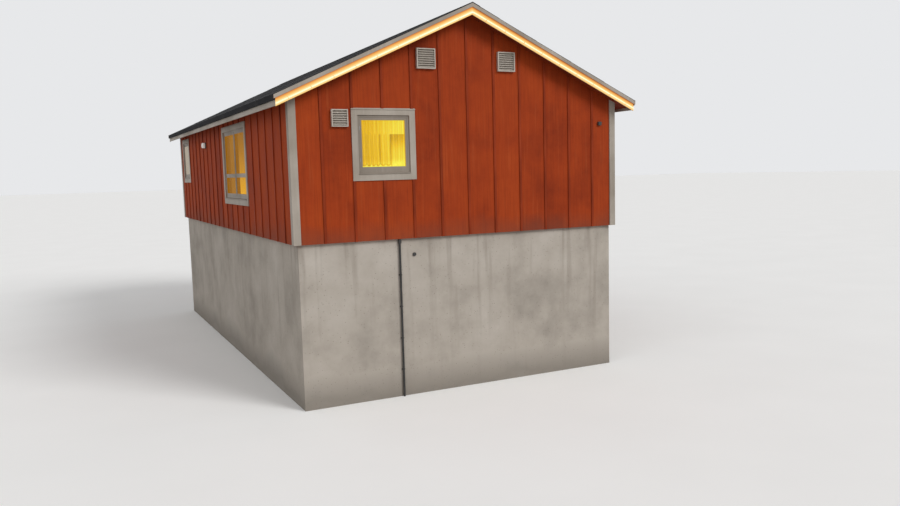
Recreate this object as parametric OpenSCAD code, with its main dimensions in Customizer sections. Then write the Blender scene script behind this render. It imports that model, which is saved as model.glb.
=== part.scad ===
// Timber house with boarded walls and a low gabled roof, on a tall concrete basement.
// Millimetres, +Z up. The origin is the middle of the footprint, at the foot of the basement walls.
// The front gable faces -Y. Every piece is a solid of its own, and no piece overlaps another.

/* [House] */
// Width over the corner boards
house_w = 7200; // [6600:100:9000]
// Length over the corner boards
house_l = 13200; // [11400:100:16800]

/* [Basement] */
// Height of the concrete walls
basement_h = 3100; // [1200:50:3600]
// Thickness of the concrete walls
basement_wall_t = 250; // [200:10:350]
// How far the concrete stands in from the corner boards
basement_inset = 100; // [60:5:140]

/* [Timber walls] */
// Height of a side wall's outer edge, from the concrete to the rafters
wall_h = 2660; // [2560:10:3000]
// Thickness of a timber wall with its boarding
wall_t = 200; // [185:5:260]
// Thickness of the corner boards and window casings
trim_t = 22; // [12:1:30]
// Width of a corner board
corner_w = 140; // [90:5:180]

/* [Floor and ceiling] */
// Depth of the floor with its joists
floor_t = 220; // [150:10:300]
// Drop of the ceiling's underside below the side walls' height
ceiling_drop = 160; // [120:10:260]
// Depth of the ceiling with its joists
ceiling_t = 180; // [120:10:200]

/* [Roof] */
// Slope of the roof in degrees
roof_pitch = 24.6; // [20:0.1:32]
// Depth of the rafters and roof boards
rafter_t = 125; // [120:5:160]
// Thickness of the roofing felt with its laps
felt_t = 10; // [5:1:15]
// How far the roof reaches past the corner boards at the eaves
eaves_out = 280; // [200:10:450]
// How far the roof reaches past the corner boards at the gables
verge_out = 280; // [200:10:450]
// Reach of the ridge cap down each slope, measured level
ridge_cap_w = 160; // [100:10:250]
// Thickness of the ridge cap
ridge_cap_t = 8; // [4:1:12]

/* [Roof edges] */
// Thickness of the bargeboards and fascias
edge_board_t = 25; // [18:1:35]
// Depth of a bargeboard, measured plumb
bargeboard_h = 214; // [190:2:260]
// Depth of a fascia, measured plumb
fascia_h = 200; // [180:2:280]
// Thickness of the strips outside the boards
drip_t = 30; // [28:1:45]
// Depth of the pale strip at the gables, measured plumb
verge_drip_h = 70; // [20:5:100]
// Depth of the dark strip at the eaves, measured plumb
eaves_drip_h = 90; // [50:5:120]

/* [Rope light] */
// Diameter of the rope
rope_d = 26; // [12:1:28]
// Drop of the rope's middle below the rafters' top, measured plumb
rope_drop = 168; // [130:1:170]
// Diameter of the plugs in the rope's ends
rope_plug_d = 18; // [10:1:22]
// How far those plugs stand out
rope_plug_l = 20; // [10:5:40]

/* [Windows] */
// Drop of every window's and the door's head below the side walls' height
head_drop = 320; // [280:5:400]
// Width of a single window's frame
single_w = 1040; // [800:10:1200]
// Height of a single window's frame
single_h = 1090; // [900:10:1300]
// Width of a double window's frame
double_w = 2370; // [1800:10:2600]
// Height of a double window's frame
double_h = 1600; // [1400:10:1800]
// Height of the double window's cross bar above its frame's foot
transom_z = 555; // [450:5:650]
// Depth of the cross bar
transom_h = 80; // [50:5:100]
// Width of the post between the lights of a double window
post_w = 54; // [40:2:70]
// Width of a casing board
casing_w = 120; // [80:5:140]
// Face width of a window frame
frame_face = 42; // [35:1:60]
// Height of a window frame's foot with its sloping sill
frame_foot = 72; // [60:2:90]
// Depth of a window or door frame
frame_d = 95; // [80:5:120]
// How far a frame stands in from the boarding
frame_recess = 4; // [2:1:30]
// Face width of a sash stile
stile_w = 38; // [30:1:55]
// Face height of a sash's top rail
top_rail = 46; // [35:1:60]
// Face height of a sash's bottom rail
bottom_rail = 58; // [40:1:70]
// Thickness of a sash
sash_t = 46; // [40:1:65]
// How far a sash stands in from its frame's face
sash_recess = 6; // [2:1:15]
// Thickness of a sealed glass unit
glass_t = 24; // [18:1:36]
// Thickness of the boards that line the opening behind a frame
lining_t = 12; // [8:1:18]
// How far a sill reaches past the casing
sill_nose = 15; // [5:1:30]
// Height of a sill's nose
sill_nose_h = 14; // [10:1:20]
// Height of a sill where it meets the frame
sill_h = 30; // [22:1:40]

/* [Window places] */
// The gable window's middle, left of the gable's middle
gable_window_x = 1780; // [1500:10:1900]
// The double window's middle, from the front corner
double_from_front = 4880; // [3600:10:5400]
// The side's single window's middle, from the back corner
single_from_back = 1110; // [1000:10:1800]

/* [Curtains] */
// Room that a curtain's folds take up
curtain_t = 50; // [30:5:55]
// Room between a frame and its curtain
curtain_gap = 20; // [10:1:20]
// Room between a curtain and the lining beside and below it
curtain_edge = 10; // [5:1:20]

/* [Door] */
// Width of the door's frame
door_w = 1000; // [900:10:1100]
// The door's middle, from the front corner
door_from_front = 8640; // [7900:10:9200]
// Face width of the door's frame
door_frame_face = 45; // [35:1:60]
// Height of the threshold
threshold_h = 25; // [15:1:40]
// Thickness of the door
leaf_t = 54; // [40:1:60]
// How far the door stands in from its frame's face
leaf_recess = 8; // [0:1:15]
// Running room round the door
leaf_gap = 4; // [2:1:6]
// Width of the stop that the door shuts against
stop_w = 14; // [10:1:20]
// Height of the handle above the threshold
handle_z = 1000; // [900:10:1100]
// The handle's distance from the door's edge
handle_in = 70; // [50:5:90]
// Length of the lever
lever_l = 130; // [100:5:160]
// Diameter of the lever
lever_d = 20; // [14:1:24]
// Reach of the lever from the door
lever_out = 50; // [35:1:60]
// Diameter of the rose behind the lever
rose_d = 54; // [44:1:60]
// Thickness of the rose
rose_t = 8; // [4:1:10]

/* [Vents] */
// Width of a roof-space vent
gable_vent_w = 390; // [300:10:450]
// Height of a roof-space vent
gable_vent_h = 380; // [300:10:420]
// Distance of the roof-space vents' middles from the gable's middle
gable_vent_x = 885; // [700:5:1000]
// Rise of the roof-space vents' middles above the side walls' height
gable_vent_rise = 750; // [600:10:800]
// Width and height of the room vent beside the gable window
room_vent_w = 315; // [250:5:350]
// Gap between the room vent and the window's casing
room_vent_gap = 70; // [30:5:100]
// Drop of the room vent's top below the top of that casing
room_vent_drop = 20; // [0:5:100]
// Depth of a vent's box
vent_d = 60; // [45:1:80]
// Thickness of a vent's rim
vent_rim = 20; // [12:1:30]
// Thickness of a vent's back
vent_back = 8; // [4:1:12]
// Spacing of the slats
slat_step = 42; // [35:1:60]
// Thickness of a slat, measured plumb
slat_t = 8; // [5:1:12]
// How far a slat rises from its outer edge to its inner edge
slat_rise = 26; // [15:1:30]
// How far a slat's outer edge stands in from the rim
slat_in = 6; // [2:1:12]

/* [Wall lamp] */
// The lamp's middle, from the front corner
lamp_from_front = 8640; // [7600:10:9600]
// Drop of the lamp's middle below the side walls' height
lamp_drop = 520; // [400:10:700]
// Length of the lamp along the wall
lamp_w = 220; // [160:5:280]
// Height of the lamp
lamp_h = 160; // [120:5:200]
// Thickness of the lamp's back
lamp_back_t = 28; // [15:1:40]
// How far the lamp's domed cover stands out from its back
lamp_cover_d = 80; // [60:5:110]
// How far the dome falls from its middle to its ends
lamp_dome = 35; // [20:5:45]
// Rim of the back that shows round the cover
lamp_rim = 12; // [6:1:20]
// Corner radius of the lamp's back
lamp_r = 40; // [20:1:50]

/* [Small fittings] */
// The junction box's middle, in from the corner board's outer edge
box_from_corner = 410; // [250:10:500]
// Drop of the junction box's middle below the side walls' height
box_drop = 460; // [300:10:700]
// Width and height of the junction box
box_w = 80; // [60:5:100]
// Depth of the junction box
box_d = 45; // [30:1:60]
// Corner radius of the junction box
box_r = 12; // [5:1:20]
// The drain cap's middle, left of the gable's middle
cap_x = 1200; // [1000:10:1300]
// Drop of the drain cap's middle below the top of the concrete
cap_drop = 320; // [250:10:400]
// Diameter of the drain cap
cap_d = 70; // [50:5:100]
// How far the drain cap stands out
cap_out = 25; // [15:1:40]
// The conduit's middle, left of the gable's middle
conduit_x = 1510; // [1400:10:1700]
// Diameter of the conduit
conduit_d = 40; // [25:1:50]
// Room between the conduit and the concrete
conduit_gap = 12; // [8:1:15]
// Diameter of the sleeve at the conduit's head
sleeve_d = 64; // [55:1:64]
// Length of that sleeve
sleeve_l = 90; // [60:5:150]
// Spacing of the conduit's clips
clip_step = 620; // [400:20:800]
// Height of a clip
clip_h = 24; // [16:1:40]
// Width of a clip
clip_w = 58; // [55:1:80]

/* [Hidden] */
$fn = 48;

half_w = house_w / 2;
half_l = house_l / 2;
// the boarding's outer face stands behind the corner boards
wall_x = half_w - trim_t;
wall_y = half_l - trim_t;
concrete_x = half_w - basement_inset;
concrete_y = half_l - basement_inset;
// the boards and the drip strip step outwards at the roof's edges
board_x = half_w + eaves_out;
board_y = half_l + verge_out;
roof_x = board_x + drip_t;
roof_y = board_y + drip_t;
rafter_v = rafter_t / cos(roof_pitch);
felt_v = felt_t / cos(roof_pitch);
// heights above the concrete that follow the side walls' height
head_h = wall_h - head_drop;
ceiling_z = wall_h - ceiling_drop;
gable_vent_z = wall_h + gable_vent_rise;
lamp_z = wall_h - lamp_drop;
box_z = wall_h - box_drop;
// a cut that runs a little past the face it leaves
over = 1;

function under_roof(x) = basement_h + wall_h + (half_w - abs(x)) * tan(roof_pitch);
function rafter_top(x) = under_roof(x) + rafter_v;
function roof_top(x) = rafter_top(x) + felt_v;
// places along a side are measured from the front or the back corner
function from_front(d) = d - half_l;
function from_back(d) = half_l - d;

// openings of each wall as [middle along the wall seen from outside, is it double]
front_windows = [[-gable_window_x, false]];
back_windows = [[gable_window_x, false]];
left_windows = [[-from_front(double_from_front), true], [-from_back(single_from_back), false]];
right_windows = [[from_front(double_from_front), true], [from_back(single_from_back), false]];

function window_w(double) = double ? double_w : single_w;
function window_h(double) = double ? double_h : single_h;
function window_foot(double) = basement_h + head_h - window_h(double);
door_foot = basement_h + floor_t;
door_h = head_h - floor_t;

red_boarding = "#8c2b1c";
pale_paint = "#cfc9c2";
white_paint = "#e6e4df";
concrete_grey = "#a9a49c";
dark_felt = "#2a2a2c";
bare_timber = "#b08a5e";

// an outline drawn in X and Z, carried from y0 to y1
module along_y(y0, y1) {
    translate([0, y1, 0]) rotate([90, 0, 0]) linear_extrude(y1 - y0) children();
}

// each wall's own frame: X along the wall seen from outside, Y into the wall from the boarding's face
module on_front() { translate([0, -wall_y, 0]) children(); }
module on_back() { translate([0, wall_y, 0]) rotate([0, 0, 180]) children(); }
module on_left() { translate([-wall_x, 0, 0]) rotate([0, 0, -90]) children(); }
module on_right() { translate([wall_x, 0, 0]) rotate([0, 0, 90]) children(); }

// a strip that follows the right-hand slope, between two drops measured plumb from the rafters' top
module slope_strip(x0, x1, low, high) {
    polygon([
        [x0, rafter_top(x0) + low],
        [x1, rafter_top(x1) + low],
        [x1, rafter_top(x1) + high],
        [x0, rafter_top(x0) + high]
    ]);
}

// everything that lies under the rafters
module below_roof(reach) {
    along_y(-reach, reach) polygon([
        [-board_x, 0], [board_x, 0], [board_x, under_roof(board_x)],
        [0, under_roof(0)], [-board_x, under_roof(board_x)]
    ]);
}

module rounded(w, h, r) {
    square([w - 2 * r, h], center = true);
    square([w, h - 2 * r], center = true);
    for (sx = [-1, 1], sy = [-1, 1])
        translate([sx * (w / 2 - r), sy * (h / 2 - r)]) circle(r);
}

// a plate or block on a wall, drawn as seen from outside, standing out from y0 to y1
module on_face(x, z, y0, y1) {
    translate([x, -y0, z]) rotate([90, 0, 0]) linear_extrude(y1 - y0) children();
}

// Basement

module basement_cross_wall(side) {
    color(concrete_grey)
        translate([-concrete_x, side < 0 ? -concrete_y : concrete_y - basement_wall_t, 0])
            cube([2 * concrete_x, basement_wall_t, basement_h]);
}

module basement_side_wall(side) {
    length = 2 * (concrete_y - basement_wall_t);
    color(concrete_grey)
        translate([side < 0 ? -concrete_x : concrete_x - basement_wall_t, -length / 2, 0])
            cube([basement_wall_t, length, basement_h]);
}

module basement_front_wall() { basement_cross_wall(-1); }
module basement_back_wall() { basement_cross_wall(1); }
module basement_left_wall() { basement_side_wall(-1); }
module basement_right_wall() { basement_side_wall(1); }

// Floor and ceiling

module deck(z, t) {
    inner_x = wall_x - wall_t;
    inner_y = wall_y - wall_t;
    color(bare_timber)
        translate([-inner_x, -inner_y, z]) cube([2 * inner_x, 2 * inner_y, t]);
}

module floor_deck() { deck(basement_h, floor_t); }
module ceiling_deck() { deck(basement_h + ceiling_z, ceiling_t); }

// Timber walls

module window_hole(place) {
    w = window_w(place[1]);
    translate([place[0] - w / 2, -over, window_foot(place[1])])
        cube([w, wall_t + 2 * over, window_h(place[1])]);
}

module door_hole() {
    translate([from_front(door_from_front) - door_w / 2, -over, door_foot])
        cube([door_w, wall_t + 2 * over, door_h]);
}

// a gable wall: a slab with its top on both slopes
module gable_slab() {
    translate([0, wall_t, 0]) rotate([90, 0, 0]) linear_extrude(wall_t) polygon([
        [-wall_x, basement_h], [wall_x, basement_h], [wall_x, under_roof(wall_x)],
        [0, under_roof(0)], [-wall_x, under_roof(wall_x)]
    ]);
}

module front_wall() {
    color(red_boarding) difference() {
        on_front() gable_slab();
        on_front() for (place = front_windows) window_hole(place);
    }
}

module back_wall() {
    color(red_boarding) difference() {
        on_back() gable_slab();
        on_back() for (place = back_windows) window_hole(place);
    }
}

// a side wall: its top edge is bevelled to the slope and carries the rafters
module side_slab() {
    reach = wall_y - wall_t;
    along_y(-reach, reach) polygon([
        [wall_x - wall_t, basement_h], [wall_x, basement_h],
        [wall_x, under_roof(wall_x)], [wall_x - wall_t, under_roof(wall_x - wall_t)]
    ]);
}

module left_wall() {
    color(red_boarding) difference() {
        mirror([1, 0, 0]) side_slab();
        on_left() for (place = left_windows) window_hole(place);
    }
}

module right_wall() {
    color(red_boarding) difference() {
        side_slab();
        on_right() {
            for (place = right_windows) window_hole(place);
            door_hole();
        }
    }
}

// two boards that meet round each corner, cut to the slope at their heads
module corner_boards(side) {
    color(pale_paint) intersection() {
        below_roof(half_l);
        for (m = [0, 1]) mirror([m, 0, 0]) mirror([0, side < 0 ? 0 : 1, 0])
            translate([0, 0, basement_h]) linear_extrude(under_roof(0)) difference() {
                translate([half_w - corner_w, -half_l]) square([corner_w, corner_w]);
                translate([half_w - corner_w - over, trim_t - half_l])
                    square([corner_w + over - trim_t, corner_w]);
            }
    }
}

module corner_boards_front() { corner_boards(-1); }
module corner_boards_back() { corner_boards(1); }

// Roof

module rafter_slab() {
    color(bare_timber)
        along_y(edge_board_t - board_y, board_y - edge_board_t)
            slope_strip(0, board_x - edge_board_t, -rafter_v, 0);
}

module roof_right() { rafter_slab(); }
module roof_left() { mirror([1, 0, 0]) rafter_slab(); }

module felt_slope() {
    color(dark_felt) along_y(-roof_y, roof_y) slope_strip(0, roof_x, 0, felt_v);
}

module covering_right() { felt_slope(); }
module covering_left() { mirror([1, 0, 0]) felt_slope(); }

module ridge_cap() {
    color(dark_felt) along_y(-roof_y, roof_y) polygon([
        [-ridge_cap_w, roof_top(ridge_cap_w)], [0, roof_top(0)], [ridge_cap_w, roof_top(ridge_cap_w)],
        [ridge_cap_w, roof_top(ridge_cap_w) + ridge_cap_t], [0, roof_top(0) + ridge_cap_t],
        [-ridge_cap_w, roof_top(ridge_cap_w) + ridge_cap_t]
    ]);
}

// the dark strip that the felt is turned down over: along the eaves, between the gables' strips
module eaves_strip() {
    color(dark_felt) along_y(-board_y, board_y) polygon([
        [board_x, rafter_top(board_x)], [roof_x, rafter_top(roof_x)],
        [roof_x, rafter_top(roof_x) - eaves_drip_h], [board_x, rafter_top(roof_x) - eaves_drip_h]
    ]);
}

// a pale strip that the felt lies over, up one slope at the front and the back gable
module verge_strips() {
    color(pale_paint) for (m = [0, 1]) mirror([0, m, 0])
        along_y(-roof_y, -board_y) slope_strip(0, roof_x, -verge_drip_h, 0);
}

module eaves_strip_right() { eaves_strip(); }
module eaves_strip_left() { mirror([1, 0, 0]) eaves_strip(); }
module verge_strips_right() { verge_strips(); }
module verge_strips_left() { mirror([1, 0, 0]) verge_strips(); }

module fascia() {
    color(pale_paint) along_y(edge_board_t - board_y, board_y - edge_board_t) polygon([
        [board_x - edge_board_t, rafter_top(board_x - edge_board_t)],
        [board_x, rafter_top(board_x)],
        [board_x, rafter_top(board_x) - fascia_h],
        [board_x - edge_board_t, rafter_top(board_x) - fascia_h]
    ]);
}

module fascia_right() { fascia(); }
module fascia_left() { mirror([1, 0, 0]) fascia(); }

// a board up one slope at the front and the back gable, cut plumb at the ridge and at the eaves
module bargeboards() {
    color(pale_paint) for (m = [0, 1]) mirror([0, m, 0])
        along_y(-board_y, edge_board_t - board_y) slope_strip(0, board_x, -bargeboard_h, 0);
}

module bargeboards_right() { bargeboards(); }
module bargeboards_left() { mirror([1, 0, 0]) bargeboards(); }

// the rope runs from one eaves end up to the ridge and down to the other, on the bargeboards' face
module rope_light() {
    rope_l = board_x / cos(roof_pitch);
    color("#ffd58a") translate([0, -board_y - rope_d / 2, rafter_top(0) - rope_drop]) {
        sphere(d = rope_d);
        for (m = [0, 1]) mirror([m, 0, 0]) rotate([0, 90 + roof_pitch, 0]) {
            cylinder(h = rope_l - rope_plug_l, d = rope_d);
            cylinder(h = rope_l, d = rope_plug_d);
        }
    }
}

// Windows

// four boards round an opening, butted at the corners
module casing(x, foot, w, h, boards_below) {
    color(pale_paint) difference() {
        translate([x - w / 2 - casing_w, -trim_t, foot - (boards_below ? casing_w : 0)])
            cube([w + 2 * casing_w, trim_t, h + casing_w + (boards_below ? casing_w : 0)]);
        translate([x - w / 2, -trim_t - over, foot - (boards_below ? 0 : over)])
            cube([w, trim_t + 2 * over, h + (boards_below ? 0 : over)]);
    }
}

module window_casing(place) {
    casing(place[0], window_foot(place[1]), window_w(place[1]), window_h(place[1]), true);
}

// the clear lights inside a frame, as [left edge, width]
function lights(double) =
    let (clear = window_w(double) - 2 * frame_face,
         light = double ? (clear - post_w) / 2 : clear)
    double ? [[frame_face, light], [frame_face + light + post_w, light]] : [[frame_face, light]];

// the panes of a sash that stands from foot to head, as [foot, height]
function panes(double, foot, head) =
    let (low = foot + bottom_rail, high = head - top_rail, bar = transom_z - transom_h / 2)
    double ? [[low, bar - low], [bar + transom_h, high - bar - transom_h]] : [[low, high - low]];

// a frame with its lining, sashes and sill
module window_frame(place) {
    double = place[1];
    w = window_w(double);
    h = window_h(double);
    clear_h = h - frame_foot - frame_face;
    color(white_paint) translate([place[0] - w / 2, 0, window_foot(double)]) {
        translate([0, frame_recess, 0]) difference() {
            cube([w, frame_d, h]);
            for (light = lights(double)) translate([light[0], -over, frame_foot])
                cube([light[1], frame_d + 2 * over, clear_h]);
        }
        translate([0, frame_recess, 0]) difference() {
            cube([w, wall_t - frame_recess, h]);
            translate([lining_t, -over, lining_t])
                cube([w - 2 * lining_t, wall_t + 2 * over, h - 2 * lining_t]);
        }
        translate([0, frame_recess + sash_recess, 0]) for (light = lights(double)) difference() {
            translate([light[0], 0, frame_foot]) cube([light[1], sash_t, clear_h]);
            for (pane = panes(double, frame_foot, h - frame_face))
                translate([light[0] + stile_w, -over, pane[0]])
                    cube([light[1] - 2 * stile_w, sash_t + 2 * over, pane[1]]);
        }
        rotate([90, 0, 90]) linear_extrude(w) polygon([
            [-trim_t - sill_nose, 0], [frame_recess, 0],
            [frame_recess, sill_h], [-trim_t - sill_nose, sill_nose_h]
        ]);
    }
}

module window_panes(place) {
    double = place[1];
    h = window_h(double);
    color("#b9c7cc", 0.5)
        translate([
            place[0] - window_w(double) / 2,
            frame_recess + sash_recess + (sash_t - glass_t) / 2,
            window_foot(double)
        ])
            for (light = lights(double), pane = panes(double, frame_foot, h - frame_face))
                translate([light[0] + stile_w, 0, pane[0]])
                    cube([light[1] - 2 * stile_w, glass_t, pane[1]]);
}

// a curtain hangs from the head of the lining, behind the frame
module curtain(place) {
    double = place[1];
    w = window_w(double) - 2 * (lining_t + curtain_edge);
    color("#f3e2b0")
        translate([
            place[0] - w / 2,
            frame_recess + frame_d + curtain_gap,
            window_foot(double) + lining_t + curtain_edge
        ])
            cube([w, curtain_t, window_h(double) - 2 * lining_t - curtain_edge]);
}

module front_window_casing() { on_front() for (place = front_windows) window_casing(place); }
module front_window_frame() { on_front() for (place = front_windows) window_frame(place); }
module left_window_casings() { on_left() for (place = left_windows) window_casing(place); }
module left_window_frames() { on_left() for (place = left_windows) window_frame(place); }
module right_window_frames() { on_right() for (place = right_windows) window_frame(place); }
module back_window_casing() { on_back() for (place = back_windows) window_casing(place); }
module back_window_frame() { on_back() for (place = back_windows) window_frame(place); }

module right_casings() {
    on_right() {
        for (place = right_windows) window_casing(place);
        casing(from_front(door_from_front), door_foot, door_w, door_h, false);
    }
}

module window_glass() {
    on_front() for (place = front_windows) window_panes(place);
    on_back() for (place = back_windows) window_panes(place);
    on_left() for (place = left_windows) window_panes(place);
    on_right() for (place = right_windows) window_panes(place);
}

module curtains() {
    on_front() for (place = front_windows) curtain(place);
    on_back() for (place = back_windows) curtain(place);
    on_left() for (place = left_windows) curtain(place);
    on_right() for (place = right_windows) curtain(place);
}

// Door

module on_door() {
    on_right() translate([from_front(door_from_front), frame_recess, door_foot]) children();
}

// the opening inside the door's frame, taken in on every side but the threshold
module door_opening(in, y, depth) {
    translate([-door_w / 2 + door_frame_face + in, y, threshold_h])
        cube([door_w - 2 * (door_frame_face + in), depth, door_h - door_frame_face - threshold_h - in]);
}

module door_frame() {
    stop_y = leaf_recess + leaf_t;
    color(white_paint) on_door() difference() {
        translate([-door_w / 2, 0, 0]) cube([door_w, frame_d, door_h]);
        door_opening(0, -over, stop_y + over);
        door_opening(stop_w, 0, frame_d + over);
    }
}

module door_leaf() {
    w = door_w - 2 * (door_frame_face + leaf_gap);
    h = door_h - door_frame_face - threshold_h - leaf_gap;
    color(white_paint) on_door()
        translate([-w / 2, leaf_recess, threshold_h]) cube([w, leaf_t, h]);
}

module door_handle() {
    x = door_w / 2 - door_frame_face - leaf_gap - handle_in;
    color("silver") on_door() translate([x, leaf_recess, threshold_h + handle_z]) {
        rotate([90, 0, 0]) cylinder(h = rose_t, d = rose_d);
        rotate([90, 0, 0]) cylinder(h = lever_out, d = lever_d);
        translate([0, -lever_out, 0]) sphere(d = lever_d);
        translate([0, -lever_out, 0]) rotate([0, -90, 0]) cylinder(h = lever_l, d = lever_d);
    }
}

// Vents

// a louvred box: rim, back and slats that shed rain outwards
module vent(x, z, w, h) {
    clear_h = h - 2 * vent_rim;
    slats = floor((clear_h - slat_rise - slat_t) / slat_step) + 1;
    foot = z - (slats - 1) * slat_step / 2 - (slat_rise + slat_t) / 2;
    color(pale_paint) {
        difference() {
            translate([x - w / 2, -vent_d, z - h / 2]) cube([w, vent_d, h]);
            translate([x - w / 2 + vent_rim, -vent_d - over, z - h / 2 + vent_rim])
                cube([w - 2 * vent_rim, vent_d + over - vent_back, clear_h]);
        }
        for (i = [0 : slats - 1])
            translate([x - w / 2 + vent_rim, 0, foot + i * slat_step])
                rotate([90, 0, 90]) linear_extrude(w - 2 * vent_rim) polygon([
                    [slat_in - vent_d, 0], [-vent_back, slat_rise],
                    [-vent_back, slat_rise + slat_t], [slat_in - vent_d, slat_t]
                ]);
    }
}

module roof_space_vents() {
    for (side = [-1, 1])
        vent(side * gable_vent_x, basement_h + gable_vent_z, gable_vent_w, gable_vent_h);
}

module front_vents() {
    on_front() {
        roof_space_vents();
        vent(-gable_window_x - single_w / 2 - casing_w - room_vent_gap - room_vent_w / 2,
             basement_h + head_h + casing_w - room_vent_drop - room_vent_w / 2, room_vent_w, room_vent_w);
    }
}

module back_vents() { on_back() roof_space_vents(); }

// Wall lamp

module on_lamp() {
    on_left() translate([-from_front(lamp_from_front), 0, basement_h + lamp_z]) children();
}

module wall_lamp_base() {
    color("#4a4a4a") on_lamp() on_face(0, 0, 0, lamp_back_t) rounded(lamp_w, lamp_h, lamp_r);
}

// the cover's front is part of a sphere that falls by lamp_dome towards the lamp's ends
module wall_lamp_cover() {
    reach = lamp_w / 2 - lamp_rim;
    dome_r = (pow(reach, 2) + pow(lamp_dome, 2)) / (2 * lamp_dome);
    color("#fbf8ef") on_lamp() intersection() {
        on_face(0, 0, lamp_back_t, lamp_back_t + lamp_cover_d + over)
            rounded(2 * reach, lamp_h - 2 * lamp_rim, lamp_r - lamp_rim);
        translate([0, dome_r - lamp_back_t - lamp_cover_d, 0]) sphere(dome_r);
    }
}

// Small fittings

module wall_fittings() {
    color("#2e2e30") {
        on_front() on_face(half_w - box_from_corner, basement_h + box_z, 0, box_d)
            rounded(box_w, box_w, box_r);
        translate([-cap_x, -concrete_y, basement_h - cap_drop]) rotate([90, 0, 0])
            cylinder(h = cap_out, d = cap_d);
    }
}

// a conduit up the front of the basement, held off the concrete by clips
module service_conduit() {
    out = conduit_gap + conduit_d / 2;
    clips = floor((basement_h - sleeve_l - clip_h) / clip_step);
    color("#3a3836") translate([-conduit_x, -concrete_y - out, 0]) {
        cylinder(h = basement_h, d = conduit_d);
        translate([0, 0, basement_h - sleeve_l]) cylinder(h = sleeve_l, d = sleeve_d);
        for (i = [1 : clips])
            translate([-clip_w / 2, 0, basement_h - sleeve_l - i * clip_step])
                cube([clip_w, out, clip_h]);
    }
}

basement_front_wall();
basement_back_wall();
basement_left_wall();
basement_right_wall();
floor_deck();
ceiling_deck();
front_wall();
back_wall();
left_wall();
right_wall();
corner_boards_front();
corner_boards_back();
roof_left();
roof_right();
covering_left();
covering_right();
ridge_cap();
eaves_strip_left();
eaves_strip_right();
verge_strips_left();
verge_strips_right();
fascia_left();
fascia_right();
bargeboards_left();
bargeboards_right();
rope_light();
front_window_casing();
front_window_frame();
left_window_casings();
left_window_frames();
right_casings();
right_window_frames();
back_window_casing();
back_window_frame();
window_glass();
curtains();
door_frame();
door_leaf();
door_handle();
front_vents();
back_vents();
wall_lamp_base();
wall_lamp_cover();
wall_fittings();
service_conduit();
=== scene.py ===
"""A red timber house on a tall concrete basement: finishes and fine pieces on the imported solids.

Metres, +Z up; the front gable faces -Y. A place on a wall is given as seen from outside: how far along
the wall from its middle, how far out from the boarding, and how high.
"""
import math
from functools import partial

import bpy
import numpy as np
from mathutils import Matrix

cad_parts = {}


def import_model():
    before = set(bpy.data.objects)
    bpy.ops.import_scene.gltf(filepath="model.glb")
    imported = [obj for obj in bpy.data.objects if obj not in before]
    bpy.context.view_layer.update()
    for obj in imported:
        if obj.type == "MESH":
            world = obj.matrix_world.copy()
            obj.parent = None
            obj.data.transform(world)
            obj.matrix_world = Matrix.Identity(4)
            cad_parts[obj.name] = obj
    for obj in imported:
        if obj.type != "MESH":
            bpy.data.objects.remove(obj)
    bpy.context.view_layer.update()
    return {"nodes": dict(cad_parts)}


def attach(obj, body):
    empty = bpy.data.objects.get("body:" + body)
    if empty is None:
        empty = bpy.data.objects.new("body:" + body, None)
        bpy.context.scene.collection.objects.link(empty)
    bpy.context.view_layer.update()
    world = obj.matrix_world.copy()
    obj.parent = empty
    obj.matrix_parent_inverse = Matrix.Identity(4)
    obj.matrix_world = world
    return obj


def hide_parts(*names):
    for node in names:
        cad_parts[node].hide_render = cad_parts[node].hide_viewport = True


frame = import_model()
NODES = frame["nodes"]

# Walls: half the width and the length over the corner boards, the heights, and the boards' sizes
HALF_W, HALF_L = 3.600, 6.600
BASEMENT_H, WALL_H = 3.100, 2.660
TRIM_T, CORNER_W = 0.022, 0.140
WALL_X, WALL_Y = HALF_W - TRIM_T, HALF_L - TRIM_T
BATTEN_STEP = 0.600

# Roof: its slope, the plumb depths of its rafters and felt, the rafters' top at the ridge, and how far the
# edge boards' faces and the strips over them stand from the house's middle
PITCH = math.radians(24.6)
SLOPE = math.tan(PITCH)
RAFTER_V, FELT_V = 0.125 / math.cos(PITCH), 0.010 / math.cos(PITCH)
RIDGE_Z = BASEMENT_H + WALL_H + HALF_W * SLOPE + RAFTER_V
BOARD_X, BOARD_Y, BOARD_T = 3.880, 6.880, 0.025
ROOF_X, ROOF_Y = 3.910, 6.910
FELT_COURSE = 0.830

# Rope light: its thickness, its line's drop from the rafters' top, and the spacing of its lamps
ROPE_D, ROPE_DROP, LED_STEP = 0.026, 0.168, 0.028
ROPE_LINE_TOP = RIDGE_Z - ROPE_DROP

# Windows: the heads' height, width and height over the frame, then the sections and places of their parts
HEAD_Z = BASEMENT_H + 2.340
SINGLE, DOUBLE = (1.040, 1.090), (2.370, 1.600)
CASING_W = 0.120
FRAME_FACE, FRAME_FOOT, FRAME_D, FRAME_RECESS = 0.042, 0.072, 0.095, 0.004
STILE_W, TOP_RAIL, BOTTOM_RAIL = 0.038, 0.046, 0.058
SASH_T, SASH_RECESS, GLASS_T, LINING_T = 0.046, 0.006, 0.024, 0.012
BAR_Z, BAR_H, POST_W = 0.555, 0.080, 0.054
CURTAIN_GAP, CURTAIN_T, CURTAIN_EDGE = 0.020, 0.050, 0.010

# Door, in the right wall
DOOR_MIDDLE, DOOR_W, DOOR_FOOT = 2.040, 1.000, BASEMENT_H + 0.220
DOOR_FACE, DOOR_GAP, THRESHOLD, LEAF_RECESS = 0.045, 0.004, 0.025, 0.008

UP = np.array((0.0, 0.0, 1.0))
SIDES = ((-1, "left"), (1, "right"))
GABLES = ("front", "back")

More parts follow.
